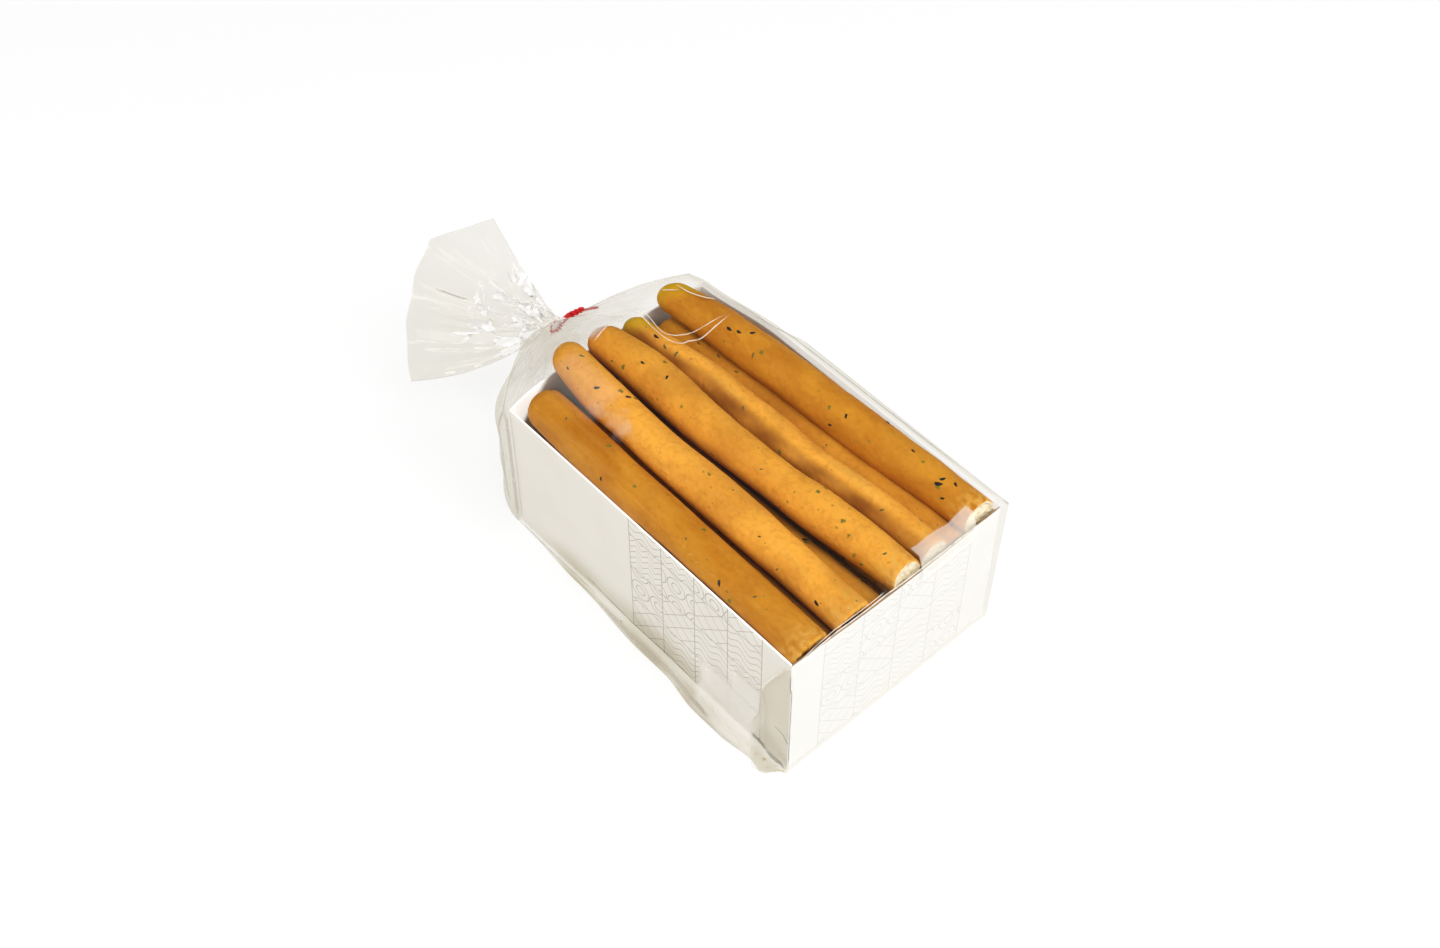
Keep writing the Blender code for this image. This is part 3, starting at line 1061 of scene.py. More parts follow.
@dataclass(frozen=True)
class Card:
    """White coated card, plain or with a fine grey line print.

    Attributes:
        name: The finish's name.
        printed: Which axis the print runs along, x or y, or nothing for plain card.
        start: Where the fields start along it, in millimetres.
        strength: How strong the print is.
        painted_depth_shade: The painted shade of the inner walls down between the rusks, darker
            below the rim.
        field_width: The width of one printed field, in millimetres.
        line: The width of a printed line.
        painted_glow: How strongly the card glows near its rim and in the back wall's near corner:
            painted light that brightens the inner faces.
        cloud_scale: Cloudy spots per metre.
    """

    name: str
    printed: str = ""
    start: float = -9.8
    strength: float = 0.5
    white: Colour = (0.88, 0.87, 0.85)
    shade: Colour = (0.83, 0.815, 0.79)
    painted_depth_shade: Colour = (0.26, 0.195, 0.130)
    ink: Colour = (0.22, 0.190, 0.150)
    field_width: float = 20.7
    field_height: float = 22.5
    columns: int = 4
    line: float = 0.45
    painted_glow: float = 0.0
    cloud_scale: float = 45.0
    rim_height: float = 0.078

    def material(self) -> Material:
        """Builds the card.

        Returns:
            The material.
        """
        shader = Shader(self.name)
        x, y, z = shader.axes()
        fibre = shader.noise(900.0, 3.0)
        cloud = shader.noise(self.cloud_scale, 2.0)
        colour = shader.mix(cloud.step(0.35, 0.75) * 0.5, self.white, self.shade)
        near = self.corner(x, y, z)
        if self.printed:
            colour = shader.mix(self.fields(shader) * self.strength, colour, self.ink)
        if self.painted_glow:
            # painted shade: the inner walls darker below the rim, except in the back wall's near
            # corner
            colour = shader.mix(z.step(0.0776, 0.066) * (1.0 - near) * 0.8, colour, self.painted_depth_shade)
        surface = shader.principled({
            "Base Color": colour,
            "Roughness": fibre * 0.15 + 0.42,
            "Normal": shader.bump(fibre * 0.6 + cloud, 0.0002, 0.5),
            "Specular IOR Level": 0.3,
            # painted light: the card glows near its rim and in the back wall's near corner
            "Emission Color": shader.mix(self.painted_glow_mask(shader), (0.0, 0.0, 0.0), self.white),
            "Emission Strength": self.painted_glow,
        })
        return shader.finish(surface)

    def painted_glow_mask(self, shader: Shader) -> Signal:
        """Where the card glows with painted light: its near rim and the back wall's near corner.

        Args:
            shader: The material under construction.

        Returns:
            The mask, from 0 to 1.
        """
        x, y, z = shader.axes()
        rim = z.step(0.0768, 0.0776) * y.step(-0.052, -0.057)
        return self.corner(x, y, z).most(rim)

    def corner(self, x: Signal, y: Signal, z: Signal) -> Signal:
        """The back wall's near corner, down to where the first rusk shades it."""
        return x.step(-0.080, -0.086) * (y + (self.rim_height - z) * 1.2).step(-0.033, -0.040)

    def stroke(self, value: Signal, period: float) -> Signal:
        """A thin line wherever a value in millimetres passes a multiple of a period."""
        off = abs((value / period + 0.5) % 1.0 - 0.5) * period
        return off.step(self.line / 2 + 0.12, self.line / 2 - 0.12)

    def motif(self, motif: Motif, along: Signal, up: Signal) -> Signal:
        """The line mask of one motif.

        Args:
            motif: Which pattern.
            along: Millimetres along the wall.
            up: Millimetres above the tray's underside.

        Returns:
            1 on the lines and 0 between them.
        """
        if motif is Motif.DIAMONDS:
            return self.stroke(along + up, 9.5).most(self.stroke(along - up, 9.5))
        if motif is Motif.WAVES:
            return self.stroke(up + (along * (2 * math.pi / 12.0)).sin() * 1.8, 4.6)
        if motif is Motif.HERRINGBONE:
            return self.stroke(up + abs((along / 8.0) % 1.0 - 0.5) * 8.0, 3.9)
        across = (along % 12.0) - 6.0
        rise = (up % 13.0) - 6.5
        distance = (across * across + rise * rise).root()
        return self.stroke(distance + 0.2, 2.9) * (distance < 6.0)

    def fields(self, shader: Shader) -> Signal:
        """The mask of the whole print: framed fields, each with one motif.

        Args:
            shader: The material under construction.

        Returns:
            The mask, from 0 to 1.
        """
        x, y, z = shader.axes()
        along = (x if self.printed == "x" else y) * 1000.0 - self.start
        up = z * 1000.0
        column = (along / self.field_width).floor()
        row = (up / self.field_height).floor()
        chosen = (column + row * 3.0) % 4.0
        lines = self.stroke(along, self.field_width).most(self.stroke(up, self.field_height))
        for motif in Motif:
            here = abs(chosen - float(motif.value)) < 0.5
            lines = lines.most(self.motif(motif, along, up) * here)
        inside = (along > -0.3) * (along < self.field_width * self.columns + 0.3)
        return lines * inside


@dataclass(frozen=True)
class TieCoat:
    """Red plastic coat of a twist tie."""

    red: Colour = (0.72, 0.016, 0.014)
    dark: Colour = (0.42, 0.008, 0.008)

    def material(self) -> Material:
        """Builds the coat.

        Returns:
            The material.
        """
        shader = Shader("red_tie")
        grain = shader.noise(900.0, 2.0)
        surface = shader.principled({
            "Base Color": shader.mix(grain.step(0.4, 0.7), self.red, self.dark),
            "Roughness": grain * 0.2 + 0.40,
            "Normal": shader.bump(grain, 0.0002, 0.6),
            "Specular IOR Level": 0.2,
        })
        return shader.finish(surface)


@dataclass
class Tray:
    """The open card tray: four upright walls, folded double, round a bottom.

    Attributes:
        lift: How far its underside lies over the film below it.
        bow: How far the film pulls the far wall's back end in, and bow_reach how far along.
        front_bow: How far the rusks push the front wall out, and back_bow the back wall.
        far_fold: How much thicker the far wall is, folded over inwards.
        fold_foot: The height where that fold ends.
    """

    length: float = 0.180
    width: float = 0.120
    height: float = 0.078
    card: float = 0.0009
    lift: float = 0.0005
    cuts: int = 24
    bow: float = 0.0045
    bow_reach: float = 0.045
    front_bow: float = 0.0014
    back_bow: float = 0.0048
    half_width: float = 0.060
    far_fold: float = 0.0020
    fold_foot: float = 0.010
    rim_round: float = 0.00045

    def build(self) -> Object:
        """Builds the tray from a box without its lid.

        Returns:
            The object.
        """
        mesh = bmesh.new()
        bmesh.ops.create_cube(mesh, size=1.0)
        bmesh.ops.scale(mesh, vec=(self.length, self.width, self.height - self.lift),
                        verts=mesh.verts)
        bmesh.ops.translate(mesh, vec=(0, 0, (self.height + self.lift) / 2), verts=mesh.verts)
        lid = [face for face in mesh.faces if face.normal.z > 0.9]
        bmesh.ops.delete(mesh, geom=lid, context="FACES_ONLY")
        bmesh.ops.subdivide_edges(mesh, edges=mesh.edges[:], cuts=self.cuts, use_grid_fill=True)
        for vertex in mesh.verts:
            vertex.co.y -= self.pulled_in(vertex.co)
            vertex.co.x += self.bowed_out(vertex.co)
        bmesh.ops.recalc_face_normals(mesh, faces=mesh.faces[:])
        bmesh.ops.solidify(mesh, geom=mesh.faces[:], thickness=self.card)
        for vertex in mesh.verts:
            if vertex.co.y > self.width / 2 - self.bow - 0.0015 and vertex.co.z > self.fold_foot \
                    and self.inside(vertex.co):
                vertex.co.y -= self.far_fold
        rim = [edge for edge in mesh.edges
               if all(vertex.co.z > self.height - 1e-4 for vertex in edge.verts)
               and edge.calc_face_angle(0.0) > 1.0]
        bmesh.ops.bevel(mesh, geom=rim, offset=self.rim_round, affect="EDGES", segments=3,
                        profile=0.5, material=-1)
        self.mark_walls(mesh)
        return add_piece("card_tray", mesh, Slot.CARD, (
            Card("tray_card", painted_glow=0.78).material(),
            Card("tray_card_sides", "x", strength=0.66, white=(0.885, 0.860, 0.815),
                 shade=(0.85, 0.815, 0.76)).material(),
            Card("tray_card_ends", "y", start=-42.0, strength=0.24, field_width=21.3,
                 white=(0.885, 0.888, 0.895), shade=(0.865, 0.868, 0.870)).material(),
            Card("tray_card_back", white=(0.90, 0.885, 0.855)).material(),
            # painted shade: the front rim dark brown, where the gap under the film's fold lies in
            # shadow
            Card("tray_card_rim_painted_shade", white=(0.36, 0.235, 0.125), shade=(0.17, 0.105, 0.055),
                 cloud_scale=160.0).material(),
        ), sharp=40, node="bag")

    def pulled_in(self, point: Vector) -> float:
        """How far the film pulls the far wall's back end in at a point.

        Args:
            point: A point of the tray.

        Returns:
            The distance, towards the near side.
        """
        if point.y < 0:
            return 0.0
        along = ease(1 - (point.x + self.length / 2) / self.bow_reach)
        return self.bow * along * (point.z / self.height) * (point.y * 2 / self.width)

    def bowed_out(self, point: Vector) -> float:
        """How far the rusks push the front and back walls out at a point.

        Args:
            point: A point of the tray.

        Returns:
            The distance along +X.
        """
        rise = (point.z / self.height) ** 1.5
        if point.x > self.length / 2 - 1e-4:
            bend = math.cos(math.pi * min(max(point.y / self.width, -0.5), 0.5))
            return self.front_bow * bend * rise
        if point.x < 1e-4 - self.length / 2:
            return -self.back_bow * (1 - (point.y / self.half_width) ** 4) * rise
        return 0.0

    def inside(self, point: Vector) -> bool:
        """Whether a point is on the far wall's inner side."""
        outer = self.width / 2 - self.pulled_in(Vector((point.x, self.width / 2, point.z)))
        return point.y < outer - self.card * 0.5

    def mark_walls(self, mesh: BMesh) -> None:
        """Gives the walls' outer faces their printed finishes, and the front rim its brown painted
        shade.

        Args:
            mesh: The tray's mesh.
        """
        for face in mesh.faces:
            middle = face.calc_center_median()
            face.material_index = 0
            if face.normal.y * math.copysign(1.0, middle.y) > 0.9:
                face.material_index = 1
            # the front rim's top takes the brown painted shade
            elif middle.x > self.length / 2 - self.card and middle.z > self.height - 0.0006 \
                    and abs(middle.y) < self.width / 2 - self.card:
                face.material_index = 4
            elif face.normal.x < -0.9 and middle.x < 0:
                face.material_index = 3
            elif face.normal.x > 0.9 and middle.x > 0:
                face.material_index = 2


@dataclass
class FilmBag:
    """The film: square over the tray, crowned over the rusks, gathered, tied and spread out.

    A share around goes up the near side, across the top, down the far side and back along the
    base. A share along goes from the front panel over the tray, the gather and the neck to the
    edge of the mouth.

    Attributes:
        near_steps: Faces up the near side; the others say it for the top, far side and base.
        body_rows: Faces along the tray; the others say it for the gather, neck and mouth.
        rusks: The rusks that hold the film up.
        body_end: The share along where the tray ends; the others say it for gather and neck.
        far_shape: How far the far side stands out, at shares of the tray's length, and
            foot_shape how far the near side's foot spreads out.
        crown: The height of the highest part of the top.
        skin_gap: How far the film lies off the rusks, and sag how widely it spans them.
        mouth_reach: The distance from the neck to the mouth's cut edge, at cut_turn degrees.
        mouth_side: The length of the mouth's long sides.
        mouth_fan: The directions of the mouth's two sides, in degrees.
    """

    near_steps: int = 36
    top_steps: int = 84
    far_steps: int = 30
    base_steps: int = 60
    body_rows: int = 64
    gather_rows: int = 64
    neck_rows: int = 4
    mouth_rows: int = 76
    rusks: Sequence[Rusk] = ()

    body_end: ClassVar[float] = 0.3077
    gather_end: ClassVar[float] = 0.6154
    neck_end: ClassVar[float] = 0.6346
    far_shape: ClassVar[tuple[tuple[float, float], ...]] = (
        (-0.06, -0.0062), (0.0, -0.0040), (0.25, 0.0010), (0.32, 0.0036), (1.0, 0.0034))
    foot_shape: ClassVar[tuple[tuple[float, float], ...]] = (
        (0.0, 0.0005), (0.25, 0.0029), (0.50, 0.0060), (0.60, 0.0060), (0.73, 0.0090),
        (0.82, 0.0090), (0.93, 0.0070), (0.965, 0.0086), (1.0, 0.0008))

    tray_length: float = 0.180
    half_width: float = 0.060
    near_y: float = -0.0612
    far_foot: float = 0.0612
    crown: float = 0.0998
    skin_gap: float = 0.0006
    sag: float = 0.060
    least_z: float = 0.0003
    rim_z: float = 0.0788
    front_x: float = 0.0915
    front_bow: float = 0.0011
    back_foot_x: float = -0.0910
    back_top_x: float = -0.0930
    neck: ClassVar[Vector] = NECK
    neck_radius: float = 0.0034
    neck_half: float = 0.0016
    mouth_centre: ClassVar[Vector] = Vector((-0.1270, -0.0070, 0.0665))
    across_axis: ClassVar[Vector] = Vector((0.0, math.sqrt(0.5), math.sqrt(0.5)))
    face_axis: ClassVar[Vector] = Vector((0.0, -math.sqrt(0.5), math.sqrt(0.5)))
    mouth_reach: float = 0.0585
    mouth_side: float = 0.0865
    mouth_fan: tuple[float, float] = (-52.0, 18.5)
    cut_turn: float = 42.4

    def __post_init__(self) -> None:
        """Works out the corners of a ring."""
        self.corners = (0, *accumulate((self.near_steps, self.top_steps, self.far_steps,
                                        self.base_steps)))

    def along_tray(self, knots: Sequence[tuple[float, float]], x: float) -> float:
        """The value at x of eased steps through knots, which are shares of the tray's length.

        Args:
            knots: Rows of a share and the value there.
            x: The place.

        Returns:
            The value.
        """
        share = min(max(x / self.tray_length + 0.5, knots[0][0]), knots[-1][0])
        for (before, low), (after, high) in zip(knots, knots[1:]):
            if share <= after:
                return blend(low, high, ease((share - before) / (after - before)))
        return knots[-1][1]

    def top_height(self, x: float, y: float) -> float:
        """The film's height over the tray: it rests on the rusks and sags between them.

        Args:
            x: The place along.
            y: The place across.

        Returns:
            The height.
        """
        height = self.rim_z
        for rusk in self.rusks:
            axis_y, axis_z, radius = rusk.centre(min(x * 1000, rusk.front))
            crest = (axis_z + radius * 1.02) / 1000 + self.skin_gap
            height = max(height, crest - (y - axis_y / 1000) ** 2 / self.sag)
        height -= max(-0.084 - x, 0.0) ** 2 / 0.024
        far = self.half_width + self.along_tray(self.far_shape, x)
        rise = min(3.0 * (y - self.near_y), 1.1 * (far - y), 12.0 * (self.front_x - x))
        return min(height, self.rim_z + max(rise, 0.0))

    def side(self, across: float) -> tuple[int, float]:
        """Which side of the ring a share around is on, and the share along that side.

        Args:
            across: The share around.

        Returns:
            The side's number, from the near side on, and the share along it.
        """
        step = across * self.corners[-1]
        for side in range(4):
            if step < self.corners[side + 1] - 1e-6:
                first, last = self.corners[side], self.corners[side + 1]
                return side, (step - first) / (last - first)
        return 3, 1.0

    def outline(self, x: float, across: float) -> tuple[float, float]:
        """The bag's outline over the tray at x, as y and z for a share around.

        Args:
            x: The place along.
            across: The share around.

        Returns:
            y and z.
        """
        side, share = self.side(across)
        spread = self.along_tray(self.foot_shape, x)
        far_top = self.half_width + self.along_tray(self.far_shape, x)
        if side == 0:
            z = self.rim_z * share**1.6
            lean = max(1 - z / 0.030, 0.0) ** 1.5
            crumple = 0.16 * rough(Vector((x, z * 0.8, 0.0)), 0.013, 2.0) \
                + 0.10 * rough(Vector((x, z, 0.0)), 0.006, 4.0)
            return self.near_y - spread * lean * (1 + crumple * min(z / 0.004, 1.0)), z
        if side == 1:
            y = blend(self.near_y, far_top, share)
            return y, self.top_height(x, y)
        if side == 2:
            return blend(far_top, self.far_foot, share), self.rim_z * (1 - share)
        return blend(self.far_foot, self.near_y - spread, share), 0.0

    def ring_angle(self, across: float) -> float:
        """The direction round the neck that a share around comes to."""
        side, share = self.side(across)
        return math.radians(225 - 90 * (side + share))

    def neck_point(self, x: float, across: float) -> Vector:
        """A point of the bunched neck.

        Args:
            x: The place along.
            across: The share around.

        Returns:
            The point.
        """
        angle = self.ring_angle(across)
        over = ease(1.5 - abs((angle - math.radians(150)) / math.radians(80)))
        radius = self.neck_radius + 0.0015 * over \
            + 0.0006 * math.sin(angle * 11) + 0.0003 * math.sin(angle * 17)
        return Vector((x, self.neck.y + math.cos(angle) * radius,
                       self.neck.z + math.sin(angle) * radius))

    def fold(self, across: float, count: float, seed: float) -> float:
        """A sharp-edged wave round the bag, from -1 to 1, of uneven folds.

        Args:
            across: The share around.
            count: How many folds go round.
            seed: Picks another set of folds.

        Returns:
            The wave's height.
        """
        drift = 0.9 * noise.noise(Vector((across * 9.0, seed, 0.0)))
        turn = (across * count + drift + seed) % 1.0
        return (4 * abs(turn - 0.5) - 1) * (0.7 + 0.5 * noise.noise(
            Vector((across * 5.0, 3.0, seed))))

    def gather_point(self, share: float, across: float) -> Vector:
        """A point between the tray's back end and the neck.

        Args:
            share: The share of the way to the neck.
            across: The share around.

        Returns:
            The point.
        """
        y, z = self.outline(self.back_top_x, across)
        rise = z / self.crown
        first = Vector((blend(self.back_foot_x, self.back_top_x, rise), y, z))
        sideways = min(max(y / (2 * self.half_width) + 0.5, 0.0), 1.0)
        high = ease((rise - 0.60) / 0.22)
        pull_x = blend(-0.1210, -0.1140 - 0.0125 * (1 - sideways) ** 3, high)
        waist = 1 - 0.30 * math.sin(math.pi * sideways) ** 1.5 - 0.55 * high * (1 - sideways) ** 2
        drop = blend(0.0120, 0.0210, sideways)
        pull = Vector((pull_x, y * waist, z - drop * rise))
        goal = self.neck_point(self.neck.x + self.neck_half, across)
        point = first * (1 - share) ** 2 + pull * (2 * share * (1 - share)) + goal * share**2
        centre = Vector((point.x, blend(0.0, self.neck.y, share),
                         blend(0.040, self.neck.z, share)))
        out = point - centre
        room = out.length
        swing = 0.0016 * self.fold(across, 13, 2.0) * ease(share * 1.6)
        swing += 0.0045 * self.fold(across, 5, 5.0) * ease(share * 1.4) * (1 - share) \
            * (0.25 + 0.75 * ease(sideways * 2.5))
        swing += 0.0005 * rough(point, 0.014, 3.0) * ease(share * 3)
        swing *= min(1.0, (1 - share) * 4 + 0.05) * min(room / 0.030, 1.0)
        return point + out.normalized() * swing

    def mouth_point(self, share: float, across: float) -> Vector:
        """A point of the spread mouth.

        Args:
            share: The share of the way from the neck to the edge.
            across: The share around.

        Returns:
            The point.
        """
        body = self.corners[2] / self.corners[-1]
        upper = across <= body
        sideways = across / body if upper else (1 - across) / (1 - body)
        angle = math.radians(blend(*self.mouth_fan, sideways))
        toward_cut = max(math.cos(angle - math.radians(self.cut_turn)),
                         self.mouth_reach / self.mouth_side)
        radius = self.mouth_reach / toward_cut * share
        point = self.mouth_centre + (Vector((-1.0, 0.0, 0.0)) * math.cos(angle)
                                     + self.across_axis * math.sin(angle)) * radius
        swell = math.sin(math.pi * share ** 0.62)
        point -= self.across_axis * (0.0135 * swell * (1 - sideways) ** 2)
        side = 1.0 if upper else -1.0
        middle = math.sin(math.pi * sideways)
        pleat = 0.0024 * math.sin(2 * math.pi * 4.5 * sideways) * middle
        pleat *= min(share / 0.45, 1 - 1.2 * (share - 0.45))
        curl = 0.0060 * (0.25 - (sideways - 0.5) ** 2) * share
        creases = 0.0016 * self.fold(sideways, 12, 7.0 if upper else 11.0) \
            * math.sin(math.pi * min(share * 1.05, 1.0)) * middle ** 0.5
        ridge = abs(rough(point, 0.0110, 6.0 + side)) + 0.3 * abs(rough(point, 0.0055, 9.0 + side))
        crinkle = -0.0034 * ridge * ease(1.35 - share * 1.7) \
            + 0.0009 * abs(rough(point, 0.022, 8.0 + side)) * (1 - share)
        lift = pleat + curl + side * 0.0015 * math.sqrt(max(middle, 0.0)) * (1 - 0.8 * share**3) \
            + (creases + crinkle) * ease(share * 5)
        neck = self.neck_point(self.neck.x - self.neck_half, across)
        return blend(point + self.face_axis * lift, neck, (1 - share) ** 3)

    def point(self, across: float, share: float) -> Vector:
        """The film's point for a share around and a share along the bag.

        Args:
            across: The share around.
            share: The share along.

        Returns:
            The point.
        """
        across %= 1.0
        if share <= self.body_end:
            part = share / self.body_end
            x = blend(self.front_x, self.back_top_x, part)
            y, z = self.outline(x, across)
            rise = z / self.crown
            foot = blend(self.front_x, self.back_foot_x, part)
            out = self.bowed_out(y, z) * ease(1 - part * 12)
            return Vector((blend(foot, x, rise) + out, y, max(z, self.least_z)))
        if share <= self.gather_end:
            part = (share - self.body_end) / (self.gather_end - self.body_end)
            spot = self.gather_point(part, across)
            spot.z = max(spot.z, self.least_z)
            return spot
        if share <= self.neck_end:
            part = (share - self.gather_end) / (self.neck_end - self.gather_end)
            return self.neck_point(self.neck.x + self.neck_half * (1 - 2 * part), across)
        part = (share - self.neck_end) / (1 - self.neck_end)
        return self.mouth_point(part ** 1.15, across)

    def bowed_out(self, y: float, z: float) -> float:
        """How far the tray's front wall pushes the film out at y and z."""
        return self.front_bow * math.cos(math.pi * min(max(y / 0.124, -0.5), 0.5)) \
            * min(z / 0.078, 1.0) ** 1.5

    def front_point(self, across: float, up: float) -> Vector:
        """A point of the flat panel over the tray's front wall.

        Args:
            across: The share from the near side to the far side.
            up: The share upwards.

        Returns:
            The point.
        """
        body, top = self.corners[1], self.corners[2]
        total = self.corners[-1]
        x = self.front_x
        near = self.outline(x, up * body / total)
        far = self.outline(x, (self.corners[3] - up * self.far_steps) / total)
        over = self.outline(x, (body + across * self.top_steps) / total)
        under = self.outline(x, (total - across * self.base_steps) / total % 1.0)
        corners = (self.outline(x, 0.0), self.outline(x, self.corners[3] / total),
                   self.outline(x, body / total), self.outline(x, top / total))
        values = []
        for axis in range(2):
            ruled = blend(near[axis], far[axis], across) + blend(under[axis], over[axis], up)
            bilinear = blend(blend(corners[0][axis], corners[1][axis], across),
                             blend(corners[2][axis], corners[3][axis], across), up)
            values.append(ruled - bilinear)
        inner = math.sin(math.pi * across) * math.sin(math.pi * up)
        swell = 0.0009 * inner * (1 + rough(Vector((0, values[0], values[1])), 0.02, 4.0))
        out = self.bowed_out(*values) + swell * 0.6
        return Vector((x + out, values[0], max(values[1], self.least_z)))

    def build(self, film: Material) -> Object:
        """Builds the film as one open sheet that goes round the bag.

        Args:
            film: The finish.

        Returns:
            The object.
        """
        rows = self.body_rows + self.gather_rows + self.neck_rows + self.mouth_rows
        mesh = grid_mesh(self.corners[-1], rows, self.point)
        panel = grid_mesh(self.top_steps, self.near_steps, self.front_point)
        lay_plain(panel)
        take_in(mesh, panel)
        return add_piece("film_bag", mesh, Slot.FILM, (film,), node="bag")


@dataclass
class TwistTie:
    """The red twist tie: once round the neck, wound on itself, with two tails.

    Attributes:
        loop_radius: The radius of the loop round the neck.
        twist_radius: The distance of each strand from the stem's axis.
        twist_length: The length of the stem, and twist_turns how often it is wound.
        twist_start: Where the stem starts, seen from the neck, and outward its direction.
        long_steps: The long tail's points, seen from the stem's end.
        faces: Faces round the wire, and rows along it.
    """

    neck: ClassVar[Vector] = NECK
    loop_radius: float = 0.0034
    twist_radius: float = 0.00074
    twist_length: float = 0.0068
    twist_turns: float = 1.5
    twist_start: ClassVar[Vector] = Vector((0.0041, 0.0047, 0.0066))
    outward: ClassVar[Vector] = Vector((0.27, 0.95, 0.11)).normalized()
    half_width: float = 0.00078
    half_thickness: float = 0.00062
    long_steps: Route = (
        (-0.0005, 0.0045, -0.0022), (-0.0010, 0.0107, -0.0058))
    short_steps: Route = (
        (-0.0001, 0.0004, -0.0002), (-0.0002, 0.0008, -0.0004))
    stem_points: int = 15
    loop_points: int = 25
    faces: int = 14
    rows: int = 220

    def strand(self, phase: float) -> list[Vector]:
        """One strand of the wound stem, from the neck outwards.

        Args:
            phase: The strand's turn at the stem's start, in radians.

        Returns:
            Its points.
        """
        start = self.neck + self.twist_start
        sideways = self.outward.cross(Vector((0.0, 0.0, 1.0))).normalized()
        upward = sideways.cross(self.outward).normalized()
        points = []
        for step in range(self.stem_points):
            share = step / (self.stem_points - 1)
            turn = phase + 2 * math.pi * self.twist_turns * share
            offset = upward * math.cos(turn) + sideways * math.sin(turn)
            points.append(start + self.outward * (self.twist_length * share)
                          + offset * self.twist_radius)
        return points

    def route(self) -> list[Vector]:
        """The wire's points: long tail, stem, loop, stem and short tail.

        Returns:
            The points.
        """
        over, under = self.strand(0.0), self.strand(math.pi)
        opening = math.asin(self.twist_radius / self.loop_radius) + math.radians(4.0)
        loop = []
        for step in range(self.loop_points):
            angle = blend(opening, 2 * math.pi - opening, step / (self.loop_points - 1))
            around = Vector((0.0, math.cos(angle), math.sin(angle)))
            loop.append(self.neck + around * self.loop_radius)
        long_tail = [over[-1] + Vector(step) for step in self.long_steps]
        short_tail = [under[-1] + Vector(step) for step in self.short_steps]
        return long_tail[::-1] + over[::-1] + loop + under + short_tail

    def build(self, coat: Material) -> Object:
        """Sweeps the flat coated wire along its route.

        Args:
            coat: The finish.

        Returns:
            The object.
        """
        knots = numbered(self.route())
        last = len(knots) - 1

        def swept(across: float, share: float) -> Vector:
            """A point of the wire's skin.

            Args:
                across: The share round the wire.
                share: The share along it.

            Returns:
                The point.
            """
            at = share * last
            centre = Vector(curve_at(knots, at))
            ahead = Vector(curve_at(knots, min(at + 0.2, last))) - Vector(
                curve_at(knots, max(at - 0.2, 0.0)))
            ahead.normalize()
            side = ahead.cross(Vector((1.0, 0.15, 0.1))).normalized()
            other = ahead.cross(side)
            turn = 0.5 * math.sin(share * 23)
            side, other = (side * math.cos(turn) + other * math.sin(turn),
                           other * math.cos(turn) - side * math.sin(turn))
            angle = 2 * math.pi * across
            close = 0.0 if share in (0.0, 1.0) else 1.0
            return centre + (other * (math.cos(angle) * self.half_width)
                             + side * (math.sin(angle) * self.half_thickness)) * close

        mesh = grid_mesh(self.faces, self.rows, swept)
        bmesh.ops.recalc_face_normals(mesh, faces=mesh.faces[:])
        return add_piece("tie_wire", mesh, Slot.TIE, (coat,), node="twist_tie")


